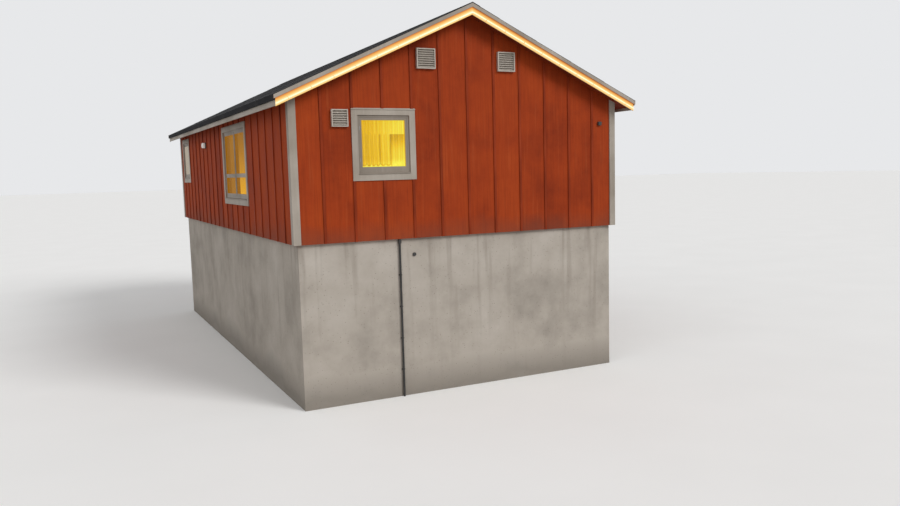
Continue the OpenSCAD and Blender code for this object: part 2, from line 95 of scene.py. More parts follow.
# Each wall as the middle of its boarding's face, the way along it and the way out of it
WALLS = {
    "front": np.array([(0, -WALL_Y, 0), (1, 0, 0), (0, -1, 0)], float),
    "back": np.array([(0, WALL_Y, 0), (-1, 0, 0), (0, 1, 0)], float),
    "left": np.array([(-WALL_X, 0, 0), (0, -1, 0), (-1, 0, 0)], float),
    "right": np.array([(WALL_X, 0, 0), (0, 1, 0), (1, 0, 0)], float),
}
# Each window as its wall, its middle along that wall, and its width and height
WINDOWS = [
    ("front", -1.780, SINGLE), ("back", 1.780, SINGLE),
    ("left", 1.720, DOUBLE), ("left", -5.490, SINGLE),
    ("right", -1.720, DOUBLE), ("right", 5.490, SINGLE),
]


# Shapes: points as an array, and faces as a list of arrays of point numbers

def joined(*parts):
    """Arrays that fit each other's rows and columns, side by side on a new last axis: coordinates make
    points, and point numbers make faces."""
    return np.stack(np.broadcast_arrays(*parts), -1)


def grid(points, closed=False, capped=False, looped=False):
    """A surface over rows of points, (rows, columns, 3). Closed joins each row's ends, so that a row is a
    ring; capped fills the first and the last ring, and looped joins them."""
    rows, columns = points.shape[:2]
    row, column = np.meshgrid(
        np.arange(rows - (not looped)), np.arange(columns - (not closed)), indexing="ij")
    first, after = row * columns + column, row * columns + (column + 1) % columns
    points = points.reshape(-1, 3)
    faces = [joined(first, after, after + columns, first + columns).reshape(-1, 4) % len(points)]
    if capped:
        ring = np.arange(columns)
        faces += [ring[None, ::-1], ring[None] + (rows - 1) * columns]
    return facing_out(points, faces) if capped or looped else (points, faces)


def facing_out(points, faces):
    """A closed shape with its faces turned outwards: the sum of each face's cone volume about the middle is
    made positive."""
    local = points - points.mean(0)
    volume = 0.0
    for group in faces:
        corner = local[group]
        for i in range(1, group.shape[1] - 1):
            volume += np.einsum("nk,nk->", corner[:, 0], np.cross(corner[:, i], corner[:, i + 1]))
    return points, faces if volume > 0 else [group[:, ::-1] for group in faces]


def bars(low, high):
    """Closed bars between matching end rings, low and high, each (bars, corners, 3). A ring that turns the
    wrong way about its bar is reversed."""
    low, high = np.array(low, float), np.array(high, float)
    area = np.cross(low, np.roll(low, -1, 1)).sum(1)
    wrong = np.einsum("nk,nk->n", area, (high - low).mean(1)) < 0
    low[wrong], high[wrong] = low[wrong, ::-1], high[wrong, ::-1]
    count, corners = low.shape[:2]
    start = np.arange(count)[:, None] * 2 * corners
    here, after = np.arange(corners), (np.arange(corners) + 1) % corners
    sides = start + joined(here, after, after + corners, here + corners).reshape(1, -1)
    caps = [start + here[::-1], start + here + corners]
    return np.stack([low, high], 1).reshape(-1, 3), [sides.reshape(-1, 4), *caps]


def studs(middles, across, up, radius, rise, sides=8):
    """Low domes such as nail heads: a ring on the surface, a ring of 0.6 the radius at 0.8 of the rise, and a
    middle point. across and up are unit vectors in the surface, and out is their cross product."""
    across, up = np.broadcast_to(across, middles.shape), np.broadcast_to(up, middles.shape)
    out = np.cross(across, up)[:, None]
    turn = circle(1.0, sides)
    ring = turn[:, :1] * across[:, None] + turn[:, 1:] * up[:, None]
    foot = middles[:, None]
    points = np.concatenate(
        [foot + radius * ring, foot + 0.6 * radius * ring + 0.8 * rise * out, foot + rise * out], 1)
    start = np.arange(len(middles))[:, None] * (2 * sides + 1)
    here, after = np.arange(sides), (np.arange(sides) + 1) % sides
    skirt = start + joined(here, after, after + sides, here + sides).reshape(1, -1)
    crown = start + joined(here + sides, after + sides, 2 * sides).reshape(1, -1)
    return points.reshape(-1, 3), [skirt.reshape(-1, 4), crown.reshape(-1, 3)]


def directions(path):
    """The unit direction at each point of a path."""
    along = np.gradient(path, axis=0)
    return along / np.linalg.norm(along, axis=1, keepdims=True)


def strap(path, profile, normal, outward):
    """A band along a path. Its profile's points are (along normal, off the path on its outward side)."""
    out = np.cross(normal, directions(path))
    out *= np.sign(np.einsum("nk,k->n", out, outward).sum())
    a, b = np.array(profile).T
    return grid(path[:, None] + a[None, :, None] * normal + b[None, :, None] * out[:, None], True, True)


def on_wall(wall, along, out, height):
    """Points on a wall, from how far along it, how far out of it and how high."""
    middle, way, outward = WALLS[wall]
    along, out, height = np.broadcast_arrays(along, out, height)
    return middle + along[..., None] * way + out[..., None] * outward + height[..., None] * UP


def level_bar(wall, ends, section, out, height):
    """A bar along a wall between two ends, with a section of (outwards, upwards) about its own place."""
    off, rise = np.array(section).T
    return bars(*[on_wall(wall, end, out + off[None], height + rise[None]) for end in ends])


def upright_bars(wall, along, section, out, foot, length):
    """Upright bars on a wall, with a section of (along, outwards) about each one's own place."""
    low = on_wall(wall, along + section[:, 0], out + section[None, :, 1], foot)
    return bars(low, low + length * UP)


def mitred(wall, rect, profile):
    """A moulding round a rectangle on a wall: its profile, as (inwards from the rectangle's edge, outwards
    from the boarding), stands on each corner's diagonal, and the four are joined."""
    left, right, low, high = rect
    corner = np.array([(left, low), (right, low), (right, high), (left, high)])
    inward = np.array([(1, 1), (-1, 1), (-1, -1), (1, -1)])
    depth, out = np.array(profile).T
    place = corner[:, None] + inward[:, None] * depth[None, :, None]
    return grid(on_wall(wall, place[..., 0], out[None], place[..., 1]), closed=True, looped=True)


def chamfered(width, thickness, chamfer):
    """A board's section as (across, out), with its two outer edges taken off."""
    w, t, c = width / 2, thickness, chamfer
    return np.array([(-w, 0), (w, 0), (w, t - c), (w - c, t), (c - w, t), (-w, t - c)])


def circle(radius, sides):
    """A round section by its corners."""
    turn = np.arange(sides) * 2 * math.pi / sides
    return radius * np.stack([np.cos(turn), np.sin(turn)], -1)


def put(name, data):
    """A new object in the scene."""
    made = bpy.data.objects.new(name, data)
    bpy.context.scene.collection.objects.link(made)
    return made


def piece(name, shapes, finish, slot, stands_for=(), smooth=0, cloth_map=None, **values):
    """One mesh object from several shapes, fixed to the house. Edges flatter than smooth degrees are shaded
    smooth; cloth_map gives each point's place on the flat cloth; values are numbers kept at each point."""
    faces, first = [], 0
    for points, groups in shapes:
        for group in groups:
            faces += (group + first).tolist()
        first += len(points)
    mesh = bpy.data.meshes.new(name)
    mesh.from_pydata(np.concatenate([points for points, _ in shapes]).tolist(), [], faces)
    if smooth:
        mesh.shade_smooth()
        mesh.set_sharp_from_angle(angle=math.radians(smooth))
    if cloth_map is not None:
        corner = np.empty(len(mesh.loops), np.int32)
        mesh.loops.foreach_get("vertex_index", corner)
        mesh.uv_layers.new(name="cloth").data.foreach_set("uv", cloth_map[corner].ravel())
    for value, numbers in values.items():
        mesh.attributes.new(value, "FLOAT", "POINT").data.foreach_set("value", numbers.astype(np.float32))
    mesh.materials.append(finish)
    made = put(name, mesh)
    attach(made, "root")
    if stands_for:
        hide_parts(*stands_for)
    return made


# Materials

def linear(code):
    """An sRGB hex colour as linear red, green, blue and alpha."""
    shown = np.array([int(code[i:i + 2], 16) for i in (1, 3, 5)]) / 255
    light = np.where(shown <= 0.04045, shown / 12.92, ((shown + 0.055) / 1.055) ** 2.4)
    return (*light.tolist(), 1.0)


def node(tree, kind, inputs=None, output=0, stops=None, **settings):
    """Adds a node and gives one of its outputs. inputs are values, hex colours or links by socket, stops are
    a ramp's (place, colour), and settings are the node's own properties."""
    made = tree.nodes.new("ShaderNode" + kind)
    for name, value in settings.items():
        setattr(made, name, value)
    for socket, value in (inputs or {}).items():
        if isinstance(value, bpy.types.NodeSocket):
            tree.links.new(value, made.inputs[socket])
        else:
            made.inputs[socket].default_value = linear(value) if isinstance(value, str) else value
    for i, (place, code) in enumerate(stops or []):
        ramp = made.color_ramp.elements
        if i >= len(ramp):
            ramp.new(place)
        ramp[i].position, ramp[i].color = place, linear(code)
    return made.outputs[output] if made.outputs else None


def emptied(made):
    """What adds nodes to a material or a world, after its own are taken out."""
    made.use_nodes = True
    made.node_tree.nodes.clear()
    return partial(node, made.node_tree)


def material(name, build):
    """A material with one shader, whose inputs build returns."""
    made = bpy.data.materials.new(name)
    new = emptied(made)
    new("OutputMaterial", {"Surface": new("BsdfPrincipled", build(new))})
    return made


# A Mix node for colours: sockets 6 and 7 go in, and 2 comes out
COLOURS = {"data_type": "RGBA", "output": 2}


def layered(new, under, colour, pattern, start, full, most=1.0):
    """A colour laid over another by a pattern: none of it at start, and its largest share, most, at full."""
    share = new("MapRange", {"Value": pattern, "From Min": start, "From Max": full, "To Max": most})
    return new("Mix", {0: share, 6: under, 7: colour}, **COLOURS)


def drawn_out(new, place, size, detail, tilt=0.0, **more):
    """Noise whose patches have a size in metres along each axis, such as grain or streaks; tilt turns them
    about Y."""
    turned = new("Mapping", {"Vector": place, "Rotation": (0, tilt, 0), "Scale": size}, vector_type="TEXTURE")
    return new("TexNoise", {"Vector": turned, "Scale": 1.0, "Detail": detail, **more})


def painted_wood(name, colour, shade, pale, roughness, grain=(0.014, 0.014, 0.6), tilt=0.0, glow=None):
    """Alkyd paint or opaque stain brushed on softwood: the grain still reads through it as fine ridges, the
    tone drifts over a metre or so, and rain has streaked it. grain is the pattern's size in metres, about
    three times as coarse as real grain so that it shows. glow adds the light of the rope or the rooms."""
    def build(new):
        place = new("TexCoord", output="Object")
        ridges = drawn_out(new, place, grain, 5.0, tilt, Roughness=0.6)
        cloudy = new("TexNoise", {"Vector": place, "Scale": 0.9, "Detail": 4.0})
        drips = drawn_out(new, place, (0.05, 0.05, 0.9), 3.0)
        tone = layered(new, colour, shade, cloudy, 0.35, 0.68)
        tone = layered(new, tone, shade, ridges, 0.42, 0.75, 0.3)
        tone = layered(new, tone, pale, drips, 0.56, 0.8, 0.35)
        rough = new("MapRange", {"Value": cloudy, "From Min": 0.3, "From Max": 0.7,
                                 "To Min": roughness - 0.06, "To Max": roughness + 0.08})
        bump = new("Bump", {"Height": ridges, "Strength": 0.5, "Distance": 0.0012})
        inputs = {"Base Color": tone, "Roughness": rough, "Specular IOR Level": 0.15, "Normal": bump}
        if glow:
            inputs |= glow(new, place, tone)
        return inputs
    return material(name, build)


def rope_spill(new, place, paint):
    """The rope's warm light on the face that it lies on, by the plumb distance from the rope's line: cream
    beside the rope, yellow 40 mm away, orange at 80 mm and a red-brown shadow under the pale strip. What
    stands behind or before that face keeps its paint's own colour."""
    ramp_per_metre, face_depth = 7.5, 0.008
    axis = new("SeparateXYZ", {0: place}).node.outputs
    run = new("Math", {0: axis["X"]}, operation="ABSOLUTE")
    line = new("Math", {0: run, 1: -SLOPE, 2: ROPE_LINE_TOP}, operation="MULTIPLY_ADD")
    gap = new("Math", {0: axis["Z"], 1: line}, operation="SUBTRACT")
    gap = new("Math", {0: gap}, operation="ABSOLUTE")
    gap = new("Math", {0: gap, 1: ramp_per_metre}, operation="MULTIPLY")
    warm = new("ValToRGB", {0: gap}, stops=[
        (0.10, "#fff0c0"), (0.17, "#fde2a0"), (0.30, "#f8c874"), (0.45, "#f4b45c"), (0.62, "#e69548"),
        (0.75, "#a85828")])
    lit_face = new("Math", {0: axis["Y"], 1: -BOARD_Y, 2: face_depth}, operation="COMPARE")
    dimmed = new("VectorMath", {0: warm, 1: (0.3, 0.3, 0.3)}, operation="MULTIPLY")
    tone = new("Mix", {0: lit_face, 6: paint, 7: dimmed}, **COLOURS)
    strength = new("Math", {0: lit_face, 1: 0.75}, operation="MULTIPLY")
    return {"Base Color": tone, "Emission Color": warm, "Emission Strength": strength}


def room_light(*codes):
    """The rooms' light on the rebates round the glass and on what stands behind it: it takes over from the
    paint with the depth into the wall, which is the least distance from the boarding's four faces. Past the
    double windows it has the second colour, where there are two."""
    shallow, deep, past_double = 0.0115, 0.018, 4.2

    def glow(new, place, paint):
        axis = new("SeparateXYZ", {0: place}).node.outputs
        x, y = [new("Math", {0: axis[way]}, operation="ABSOLUTE") for way in "XY"]
        depths = [new("Math", {0: face, 1: run}, operation="SUBTRACT")
                  for run, face in ((x, WALL_X), (y, WALL_Y))]
        depth = new("Math", {0: depths[0], 1: depths[1]}, operation="MINIMUM")
        inside = new("MapRange", {"Value": depth, "From Min": shallow, "From Max": deep})
        far = new("Math", {0: y, 1: past_double}, operation="GREATER_THAN")
        lamp = new("Mix", {0: far, 6: codes[0], 7: codes[-1]}, **COLOURS)
        shaded = new("VectorMath", {0: lamp, 1: (0.25, 0.25, 0.25)}, operation="MULTIPLY")
        tone = new("Mix", {0: inside, 6: paint, 7: shaded}, **COLOURS)
        strength = new("Math", {0: inside, 1: 0.8}, operation="MULTIPLY")
        return {"Base Color": tone, "Emission Color": lamp, "Emission Strength": strength}
    return glow


def boarded_wall(new):
    """Opaque red stain on plywood sheets: each bay between battens took it a little differently, the foot is
    splashed and dull, and rain has streaked it upright."""
    place = new("TexCoord", output="Object")
    bay_size = (BATTEN_STEP, BATTEN_STEP, 50.0)
    bay = new("VectorMath", {0: place, 1: bay_size}, operation="DIVIDE")
    bay = new("VectorMath", {0: bay}, operation="FLOOR")
    bay = new("TexWhiteNoise", {"Vector": bay}, output="Value")
    cloudy = new("TexNoise", {"Vector": place, "Scale": 1.1, "Detail": 5.0, "Roughness": 0.6})
    mixed = new("Math", {0: bay, 1: 0.30, 2: cloudy}, operation="MULTIPLY_ADD")
    tone = new("ValToRGB", {0: mixed}, stops=[(0.36, "#802d12"), (0.62, "#9c3b17"), (0.92, "#aa451b")])
    grain = drawn_out(new, place, (0.018, 0.018, 0.75), 6.0, Roughness=0.65)
    tone = layered(new, tone, "#68240d", grain, 0.45, 0.75, 0.45)
    drips = drawn_out(new, place, (0.07, 0.07, 1.3), 3.0)
    tone = layered(new, tone, "#b25a31", drips, 0.57, 0.82, 0.35)
    height = new("SeparateXYZ", {0: place}, output="Z")
    splash = new("Math", {0: cloudy, 1: 0.5, 2: height}, operation="MULTIPLY_ADD")
    tone = layered(new, tone, "#6e4234", splash, BASEMENT_H + 0.62, BASEMENT_H + 0.22, 0.5)
    rough = new("MapRange", {"Value": cloudy, "To Min": 0.62, "To Max": 0.85})
    bump = new("Bump", {"Height": grain, "Strength": 0.55, "Distance": 0.0015})
    return {"Base Color": tone, "Roughness": rough, "Specular IOR Level": 0.1, "Normal": bump}


def cast_concrete(new):
    """Concrete cast against sheet forms and rubbed down with cement: light grey, cloudy, pitted by air
    bubbles, with painted shade in the pits, streaked by rain from the top and darker where it stays damp at
    the foot."""
    place = new("TexCoord", output="Object")
    cloudy = new("TexNoise", {"Vector": place, "Scale": 0.7, "Detail": 8.0, "Roughness": 0.62})
    tone = new("ValToRGB", {0: cloudy}, stops=[(0.30, "#948c82"), (0.50, "#b0a79c"), (0.72, "#c2bab0")])
    height = new("SeparateXYZ", {0: place}, output="Z")
    near_top = new("MapRange", {"Value": height, "From Min": 0.8, "From Max": BASEMENT_H,
                                "To Min": 0.15, "To Max": 0.8})
    drips = drawn_out(new, place, (0.16, 0.16, 2.4), 4.0)
    tone = layered(new, tone, "#857b70", drips, 0.55, 0.78, near_top)
    damp = new("Math", {0: cloudy, 1: -1.3, 2: height}, operation="MULTIPLY_ADD")
    tone = layered(new, tone, "#6d665d", damp, -0.05, -0.55, 0.65)
    grit = new("TexNoise", {"Vector": place, "Scale": 130.0, "Detail": 4.0})
    tone = layered(new, tone, "#8e867c", grit, 0.3, 0.7, 0.22)
    # The pits are painted darker than the face round them: painted shade in the pits.
    pits = new("TexVoronoi", {"Vector": place, "Scale": 16.0}, output="Distance", feature="F1")
    pits = new("MapRange", {"Value": pits, "From Min": 0.06, "From Max": 0.13})
    tone = new("Mix", {0: pits, 6: "#6f685f", 7: tone}, **COLOURS)
    relief = new("Math", {0: grit, 1: 0.3, 2: pits}, operation="MULTIPLY_ADD")
    bump = new("Bump", {"Height": relief, "Strength": 0.5, "Distance": 0.003})
    return {"Base Color": tone, "Roughness": 0.9, "Normal": bump}


def mineral_felt(new):
    """Bitumen felt faced with slate chippings: near black, with grey specks and low gloss. Each course has
    weathered to its own tone, and dust has washed down the slope in streaks."""
    place = new("TexCoord", output="Object")
    course = new("VectorMath", {0: place}, operation="ABSOLUTE")
    course = new("VectorMath", {0: course, 1: (-1 / FELT_COURSE, 0, 0), 2: (ROOF_X / FELT_COURSE, 0, 0)},
                 operation="MULTIPLY_ADD")
    course = new("VectorMath", {0: course}, operation="FLOOR")
    course = new("TexWhiteNoise", {"Vector": course}, output="Value")
    course = new("MapRange", {"Value": course, "To Min": 0.75, "To Max": 1.45})
    specks = new("TexNoise", {"Vector": place, "Scale": 170.0, "Detail": 3.0, "Roughness": 0.7})
    tone = new("ValToRGB", {0: specks}, stops=[(0.35, "#121214"), (0.55, "#1c1c1f"), (0.70, "#37373a")])
    dusty = drawn_out(new, place, (2.6, 0.5, 2.6), 6.0)
    tone = layered(new, tone, "#3a3836", dusty, 0.42, 0.75, 0.35)
    tone = new("VectorMath", {0: tone, 1: course}, operation="MULTIPLY")
    bump = new("Bump", {"Height": specks, "Strength": 0.6, "Distance": 0.002})
    return {"Base Color": tone, "Roughness": 0.88, "Specular IOR Level": 0.12, "Normal": bump}


def bare_softwood(new):
    """Planed spruce left bare: warm straw brown with darker growth lines along the boards."""
    place = new("TexCoord", output="Object")
    grain = drawn_out(new, place, (0.02, 0.7, 0.02), 5.0, Distortion=0.6)
    tone = new("ValToRGB", {0: grain}, stops=[(0.35, "#8a6540"), (0.55, "#b08a5e"), (0.75, "#c39f72")])
    bump = new("Bump", {"Height": grain, "Strength": 0.4, "Distance": 0.001})
    return {"Base Color": tone, "Roughness": 0.7, "Normal": bump}


def plain_metal(colour, roughness, scale):
    """A bare or coated metal with a faint uneven sheen; scale is how many patches a metre has."""
    def build(new):
        place = new("TexCoord", output="Object")
        uneven = new("TexNoise", {"Vector": place, "Scale": scale, "Detail": 4.0})
        tone = new("MapRange", {"Value": uneven, "To Min": 0.85, "To Max": 1.1})
        tone = new("VectorMath", {0: linear(colour)[:3], 1: tone}, operation="MULTIPLY")
        rough = new("MapRange", {"Value": uneven, "To Min": roughness - 0.08, "To Max": roughness + 0.12})
        return {"Base Color": tone, "Roughness": rough, "Metallic": 1.0}
    return build


def moulded_plastic(colour, worn, roughness):
    """Polyethylene or ABS moulded with a fine spark-eroded texture, chalked in patches by the weather."""
    def build(new):
        place = new("TexCoord", output="Object")
        chalk = new("TexNoise", {"Vector": place, "Scale": 9.0, "Detail": 5.0})
        tone = layered(new, colour, worn, chalk, 0.45, 0.75, 0.5)
        texture = new("TexNoise", {"Vector": place, "Scale": 400.0, "Detail": 2.0})
        bump = new("Bump", {"Height": texture, "Strength": 0.3, "Distance": 0.0006})
        return {"Base Color": tone, "Roughness": roughness, "Normal": bump}
    return build


def rope_tube(new):
    """Clear PVC tube with warm LEDs in a row: white-hot where a lamp faces out, orange where the tube's wall
    is seen edge on and, a little, between the lamps."""
    along = new("Attribute", output="Fac", attribute_name="along")
    front = new("Attribute", output="Fac", attribute_name="front")
    beads = new("Math", {0: along, 1: 2 * math.pi / LED_STEP}, operation="MULTIPLY")
    beads = new("Math", {0: beads}, operation="COSINE")
    heat = new("Math", {0: beads, 1: 0.10, 2: front}, operation="MULTIPLY_ADD")
    tone = new("ValToRGB", {0: heat}, stops=[
        (0.00, "#ff9440"), (0.25, "#ffb765"), (0.50, "#ffdf9c"), (0.85, "#fff0c6")])
    strength = new("MapRange", {"Value": heat, "To Min": 0.9, "To Max": 1.3})
    return {"Base Color": "#8a5a30", "Roughness": 0.2, "Emission Color": tone, "Emission Strength": strength}


def clear_clip(new):
    """Clear PVC moulded thin: it takes the rope's warm glow and shows as a faint step on it."""
    place = new("TexCoord", output="Object")
    haze = new("TexNoise", {"Vector": place, "Scale": 60.0, "Detail": 3.0})
    tone = new("ValToRGB", {0: haze}, stops=[(0.3, "#dca866"), (0.7, "#f2cd8c")])
    return {"Base Color": tone, "Roughness": 0.25, "Emission Color": tone, "Emission Strength": 0.45}


def sealed_glass(new):
    """Float glass in a sealed unit: clear, faintly green, with an uneven film of dust on the outside. Its
    index is near 1 and only a hundredth of it is metallic, so that, seen edge on, it shows the lit cloth and
    doesn't mirror the pale surround: it mirrors about a hundredth of what it faces."""
    place = new("TexCoord", output="Object")
    film = new("TexNoise", {"Vector": place, "Scale": 6.0, "Detail": 4.0})
    rough = new("MapRange", {"Value": film, "From Min": 0.4, "From Max": 0.7, "To Min": 0.01, "To Max": 0.05})
    return {"Base Color": "#f4f7f2", "Roughness": rough, "IOR": 1.008, "Metallic": 0.01,
            "Transmission Weight": 1.0}


def lit_cotton(name, dim, middle, bright, base, glow):
    """Thin plain-woven cotton with a lamp behind it: it glows, less where folds lie edge on, and the threads'
    slubs show as fine uneven lines. Threads are drawn about 6 mm apart, ten times real size, so they show.
    base and glow share the tone between what the cloth reflects and what comes through it."""
    def build(new):
        place = new("UVMap", uv_map="cloth")
        lit = new("Attribute", output="Fac", attribute_name="lit")
        threads = drawn_out(new, place, (0.006, 0.25, 1.0), 3.0)
        lit = new("Math", {0: threads, 1: 0.14, 2: lit}, operation="MULTIPLY_ADD")
        tone = new("ValToRGB", {0: lit}, stops=[(0.25, dim), (0.65, middle), (1.0, bright)])
        cloth = new("VectorMath", {0: tone, 1: (base, base, base)}, operation="MULTIPLY")
        bump = new("Bump", {"Height": threads, "Strength": 0.3, "Distance": 0.0008})
        return {"Base Color": cloth, "Roughness": 0.9, "Specular IOR Level": 0.2, "Normal": bump,
                "Emission Color": tone, "Emission Strength": glow}
    return material(name, build)


def opal_plastic(new):
    """Opal polycarbonate with its lamp off, but with a faint painted glow: milky, faintly grey, and a little
    dusty in patches.
    """
    place = new("TexCoord", output="Object")
    dust = new("TexNoise", {"Vector": place, "Scale": 14.0, "Detail": 4.0})
    tone = layered(new, "#dcd7d2", "#b7b0aa", dust, 0.4, 0.75, 0.5)
    # The lamp is off, and a faint glow is painted on the cover.
    return {"Base Color": tone, "Roughness": 0.35, "Emission Color": "#fff4ea", "Emission Strength": 0.15}


RED_WALL = material("stained_plywood", boarded_wall)
RED_BATTEN = painted_wood("stained_battens", "#963816", "#70270f", "#aa552f", 0.72)
RED_SOFFIT = painted_wood("stained_soffit", "#893316", "#67250f", "#974523", 0.75, grain=(0.5, 0.5, 0.014))
CONCRETE = material("cast_concrete", cast_concrete)
WEATHERED = ("#b3aa9f", "#91877b", "#c5bcb1", 0.55)
TRIM_UPRIGHT = painted_wood("trim_paint_upright", *WEATHERED)
TRIM_LEVEL = painted_wood("trim_paint_level", *WEATHERED, grain=(0.014, 0.6, 0.014))
TRIM_RISING = [
    painted_wood(f"trim_paint_rising_{name}", *WEATHERED, (0.6, 0.014, 0.014), side * PITCH, rope_spill)
    for side, name in SIDES]
# Darker than the trim: the joinery's own paint, and painted shade for the recessed frames and sashes.
JOINERY_PAINT_AND_SHADE = ("#978d82", "#7c7368", "#a79d92", 0.45)
JOINERY = painted_wood("joinery_paint_and_shade", *JOINERY_PAINT_AND_SHADE)
JOINERY_GABLE = painted_wood("joinery_paint_gable", *JOINERY_PAINT_AND_SHADE, glow=room_light("#e3b232"))
JOINERY_SIDE = painted_wood("joinery_paint_side", *JOINERY_PAINT_AND_SHADE, glow=room_light("#a06a14", "#b8ac9f"))
TRACK = material("track_enamel", moulded_plastic("#a89e92", "#8f857a", 0.4))
DOOR_PAINT = painted_wood("door_paint", "#aca398", "#8b8176", "#bdb4a9", 0.45)
FELT = material("mineral_felt", mineral_felt)
SOFTWOOD = material("bare_softwood", bare_softwood)
GLASS = material("sealed_glass", sealed_glass)
ROPE = material("rope_tube", rope_tube)
CLEAR_PVC = material("clear_pvc", clear_clip)
YELLOW_CLOTH = lit_cotton("yellow_cotton", "#a6750c", "#f2be20", "#fff252", 0.12, 0.93)
AMBER_CLOTH = lit_cotton("amber_cotton", "#6a4008", "#b87c16", "#f8b424", 0.10, 0.93)
GREY_CLOTH = lit_cotton("grey_cotton", "#a0958a", "#c2b5a8", "#d4c8bc", 0.40, 0.62)
STEEL = material("satin_steel", plain_metal("#b9b6ae", 0.32, 40.0))
BRASS = material("drawn_brass", plain_metal("#b08d4a", 0.30, 30.0))
ZINC = material("galvanised_steel", plain_metal("#9a9c9b", 0.45, 25.0))
VENT_PAINT = material("vent_enamel", moulded_plastic("#b5aca1", "#9a9084", 0.5))
BLACK_PLASTIC = material("black_plastic", moulded_plastic("#242322", "#4a4744", 0.55))
OPAL = material("opal_plastic", opal_plastic)

NODE_FINISH = {
    CONCRETE: [f"basement_{wall}_wall" for wall in WALLS],
    SOFTWOOD: ["floor_deck", "ceiling_deck", "roof_left", "roof_right"],
    RED_WALL: [f"{wall}_wall" for wall in WALLS],
    TRIM_UPRIGHT: ["corner_boards_front", "corner_boards_back", "front_window_casing",
                   "left_window_casings", "right_casings", "back_window_casing"],
    TRIM_LEVEL: ["fascia_left", "fascia_right"],
    TRIM_RISING[0]: ["bargeboards_left", "verge_strips_left"],
    TRIM_RISING[1]: ["bargeboards_right", "verge_strips_right"],
    JOINERY: ["door_frame"],
    JOINERY_GABLE: ["front_window_frame", "back_window_frame"],
    JOINERY_SIDE: ["left_window_frames", "right_window_frames"],
    DOOR_PAINT: ["door_leaf"],
    FELT: ["ridge_cap", "eaves_strip_left", "eaves_strip_right"],
    GLASS: ["window_glass"],
    STEEL: ["door_handle"],
    VENT_PAINT: ["front_vents", "back_vents"],
    BLACK_PLASTIC: ["wall_lamp_base", "wall_fittings", "service_conduit"],
    OPAL: ["wall_lamp_cover"],
}
for finish, names in NODE_FINISH.items():
    for name in names:
        for holder in NODES[name].material_slots:
            holder.material = finish


# Boarding

BATTEN_W, BATTEN_T, BATTEN_CHAMFER = 0.048, 0.020, 0.004
BATTEN_NAIL_STEP, BATTEN_NAIL_INSET = 0.45, 0.06
SOFFIT_T, SOFFIT_BOARDS, SOFFIT_CHAMFER = 0.012, 3, 0.004


def under_roof(x):
    """Height of the rafters' underside at x: the side walls' height and the slope's rise from there."""
    return BASEMENT_H + WALL_H + (HALF_W - np.abs(x)) * SLOPE


def down_slope(side):
    """The way straight down one slope."""
    return np.array((side * math.cos(PITCH), 0.0, -math.sin(PITCH)))


def casing_rect(middle, size):
    """A window's casing by its outer edges: left, right, low, high."""
    width, height = size
    return (middle - width / 2 - CASING_W, middle + width / 2 + CASING_W,
            HEAD_Z - height - CASING_W, HEAD_Z + CASING_W)


DOOR_RECT = (DOOR_MIDDLE - DOOR_W / 2 - CASING_W, DOOR_MIDDLE + DOOR_W / 2 + CASING_W,
             DOOR_FOOT, HEAD_Z + CASING_W)


def batten_spans(wall):
    """Each batten's middle, foot and head: one every step, stopped by a casing that it would cross."""
    blocked = [casing_rect(middle, size) for its_wall, middle, size in WINDOWS if its_wall == wall]
    if wall == "right":
        blocked.append(DOOR_RECT)
    reach = (HALF_W if wall in GABLES else HALF_L) - CORNER_W
    count = int(reach / BATTEN_STEP)
    spans = []
    for middle in np.arange(-count, count + 1) * BATTEN_STEP:
        foot = BASEMENT_H
        for left, right, low, high in blocked:
            if left < middle + BATTEN_W / 2 and middle - BATTEN_W / 2 < right:
                spans.append((middle, foot, low))
                foot = high
        spans.append((middle, foot, math.inf))
    return np.array(spans)


def battens(wall):
    """Cover battens as upright bars with chamfered edges, cut to the slope at their heads, and their nails,
    painted over."""
    middle, foot, head = batten_spans(wall).T
    across, out = chamfered(BATTEN_W, BATTEN_T, BATTEN_CHAMFER).T
    low = on_wall(wall, middle[:, None] + across, out[None], foot[:, None])
    high = low.copy()
    high[..., 2] = np.minimum(head[:, None], under_roof(low[..., 0]) - SOFFIT_T / math.cos(PITCH))
    heads = []
    for along, start, end in zip(middle, foot, high[..., 2].min(1)):
        count = max(2, round((end - start) / BATTEN_NAIL_STEP))
        heights = np.linspace(start + BATTEN_NAIL_INSET, end - BATTEN_NAIL_INSET, count)
        heads.append(on_wall(wall, along, BATTEN_T, heights))
    return [bars(low, high), studs(np.concatenate(heads), WALLS[wall][1], UP, 0.005, 0.0016)]


for wall in WALLS:
    piece(f"battens_{wall}", battens(wall), RED_BATTEN, "red_boarding")


# Soffit boards, on the rafters' underside between the walls and the edge boards

def soffit_verge(side, end):
    """Boards up one slope at one gable, with V-joints, cut plumb at the ridge."""
    width = (BOARD_Y - BOARD_T - WALL_Y) / SOFFIT_BOARDS
    across, drop = chamfered(width, SOFFIT_T, SOFFIT_CHAMFER).T
    y = WALL_Y + width * (np.arange(SOFFIT_BOARDS) + 0.5)[:, None] + across
    low = joined(0.0, end * y, under_roof(0.0) - drop / math.cos(PITCH))
    return bars(low, low + (side * WALL_X, 0.0, -WALL_X * SLOPE))


def soffit_eaves(side):
    """Boards along one eaves, with V-joints."""
    width = (BOARD_X - BOARD_T - WALL_X) / SOFFIT_BOARDS
    across, drop = chamfered(width, SOFFIT_T, SOFFIT_CHAMFER).T
    x = WALL_X + width * (np.arange(SOFFIT_BOARDS) + 0.5)[:, None] + across
    low = joined(side * x, BOARD_T - BOARD_Y, under_roof(x) - drop / math.cos(PITCH))
    return bars(low, low * (1, -1, 1))


for side, name in SIDES:
    boards = [soffit_verge(side, end) for end in (-1, 1)] + [soffit_eaves(side)]
    piece(f"soffit_boards_{name}", boards, RED_SOFFIT, "red_boarding")


# Roofing felt

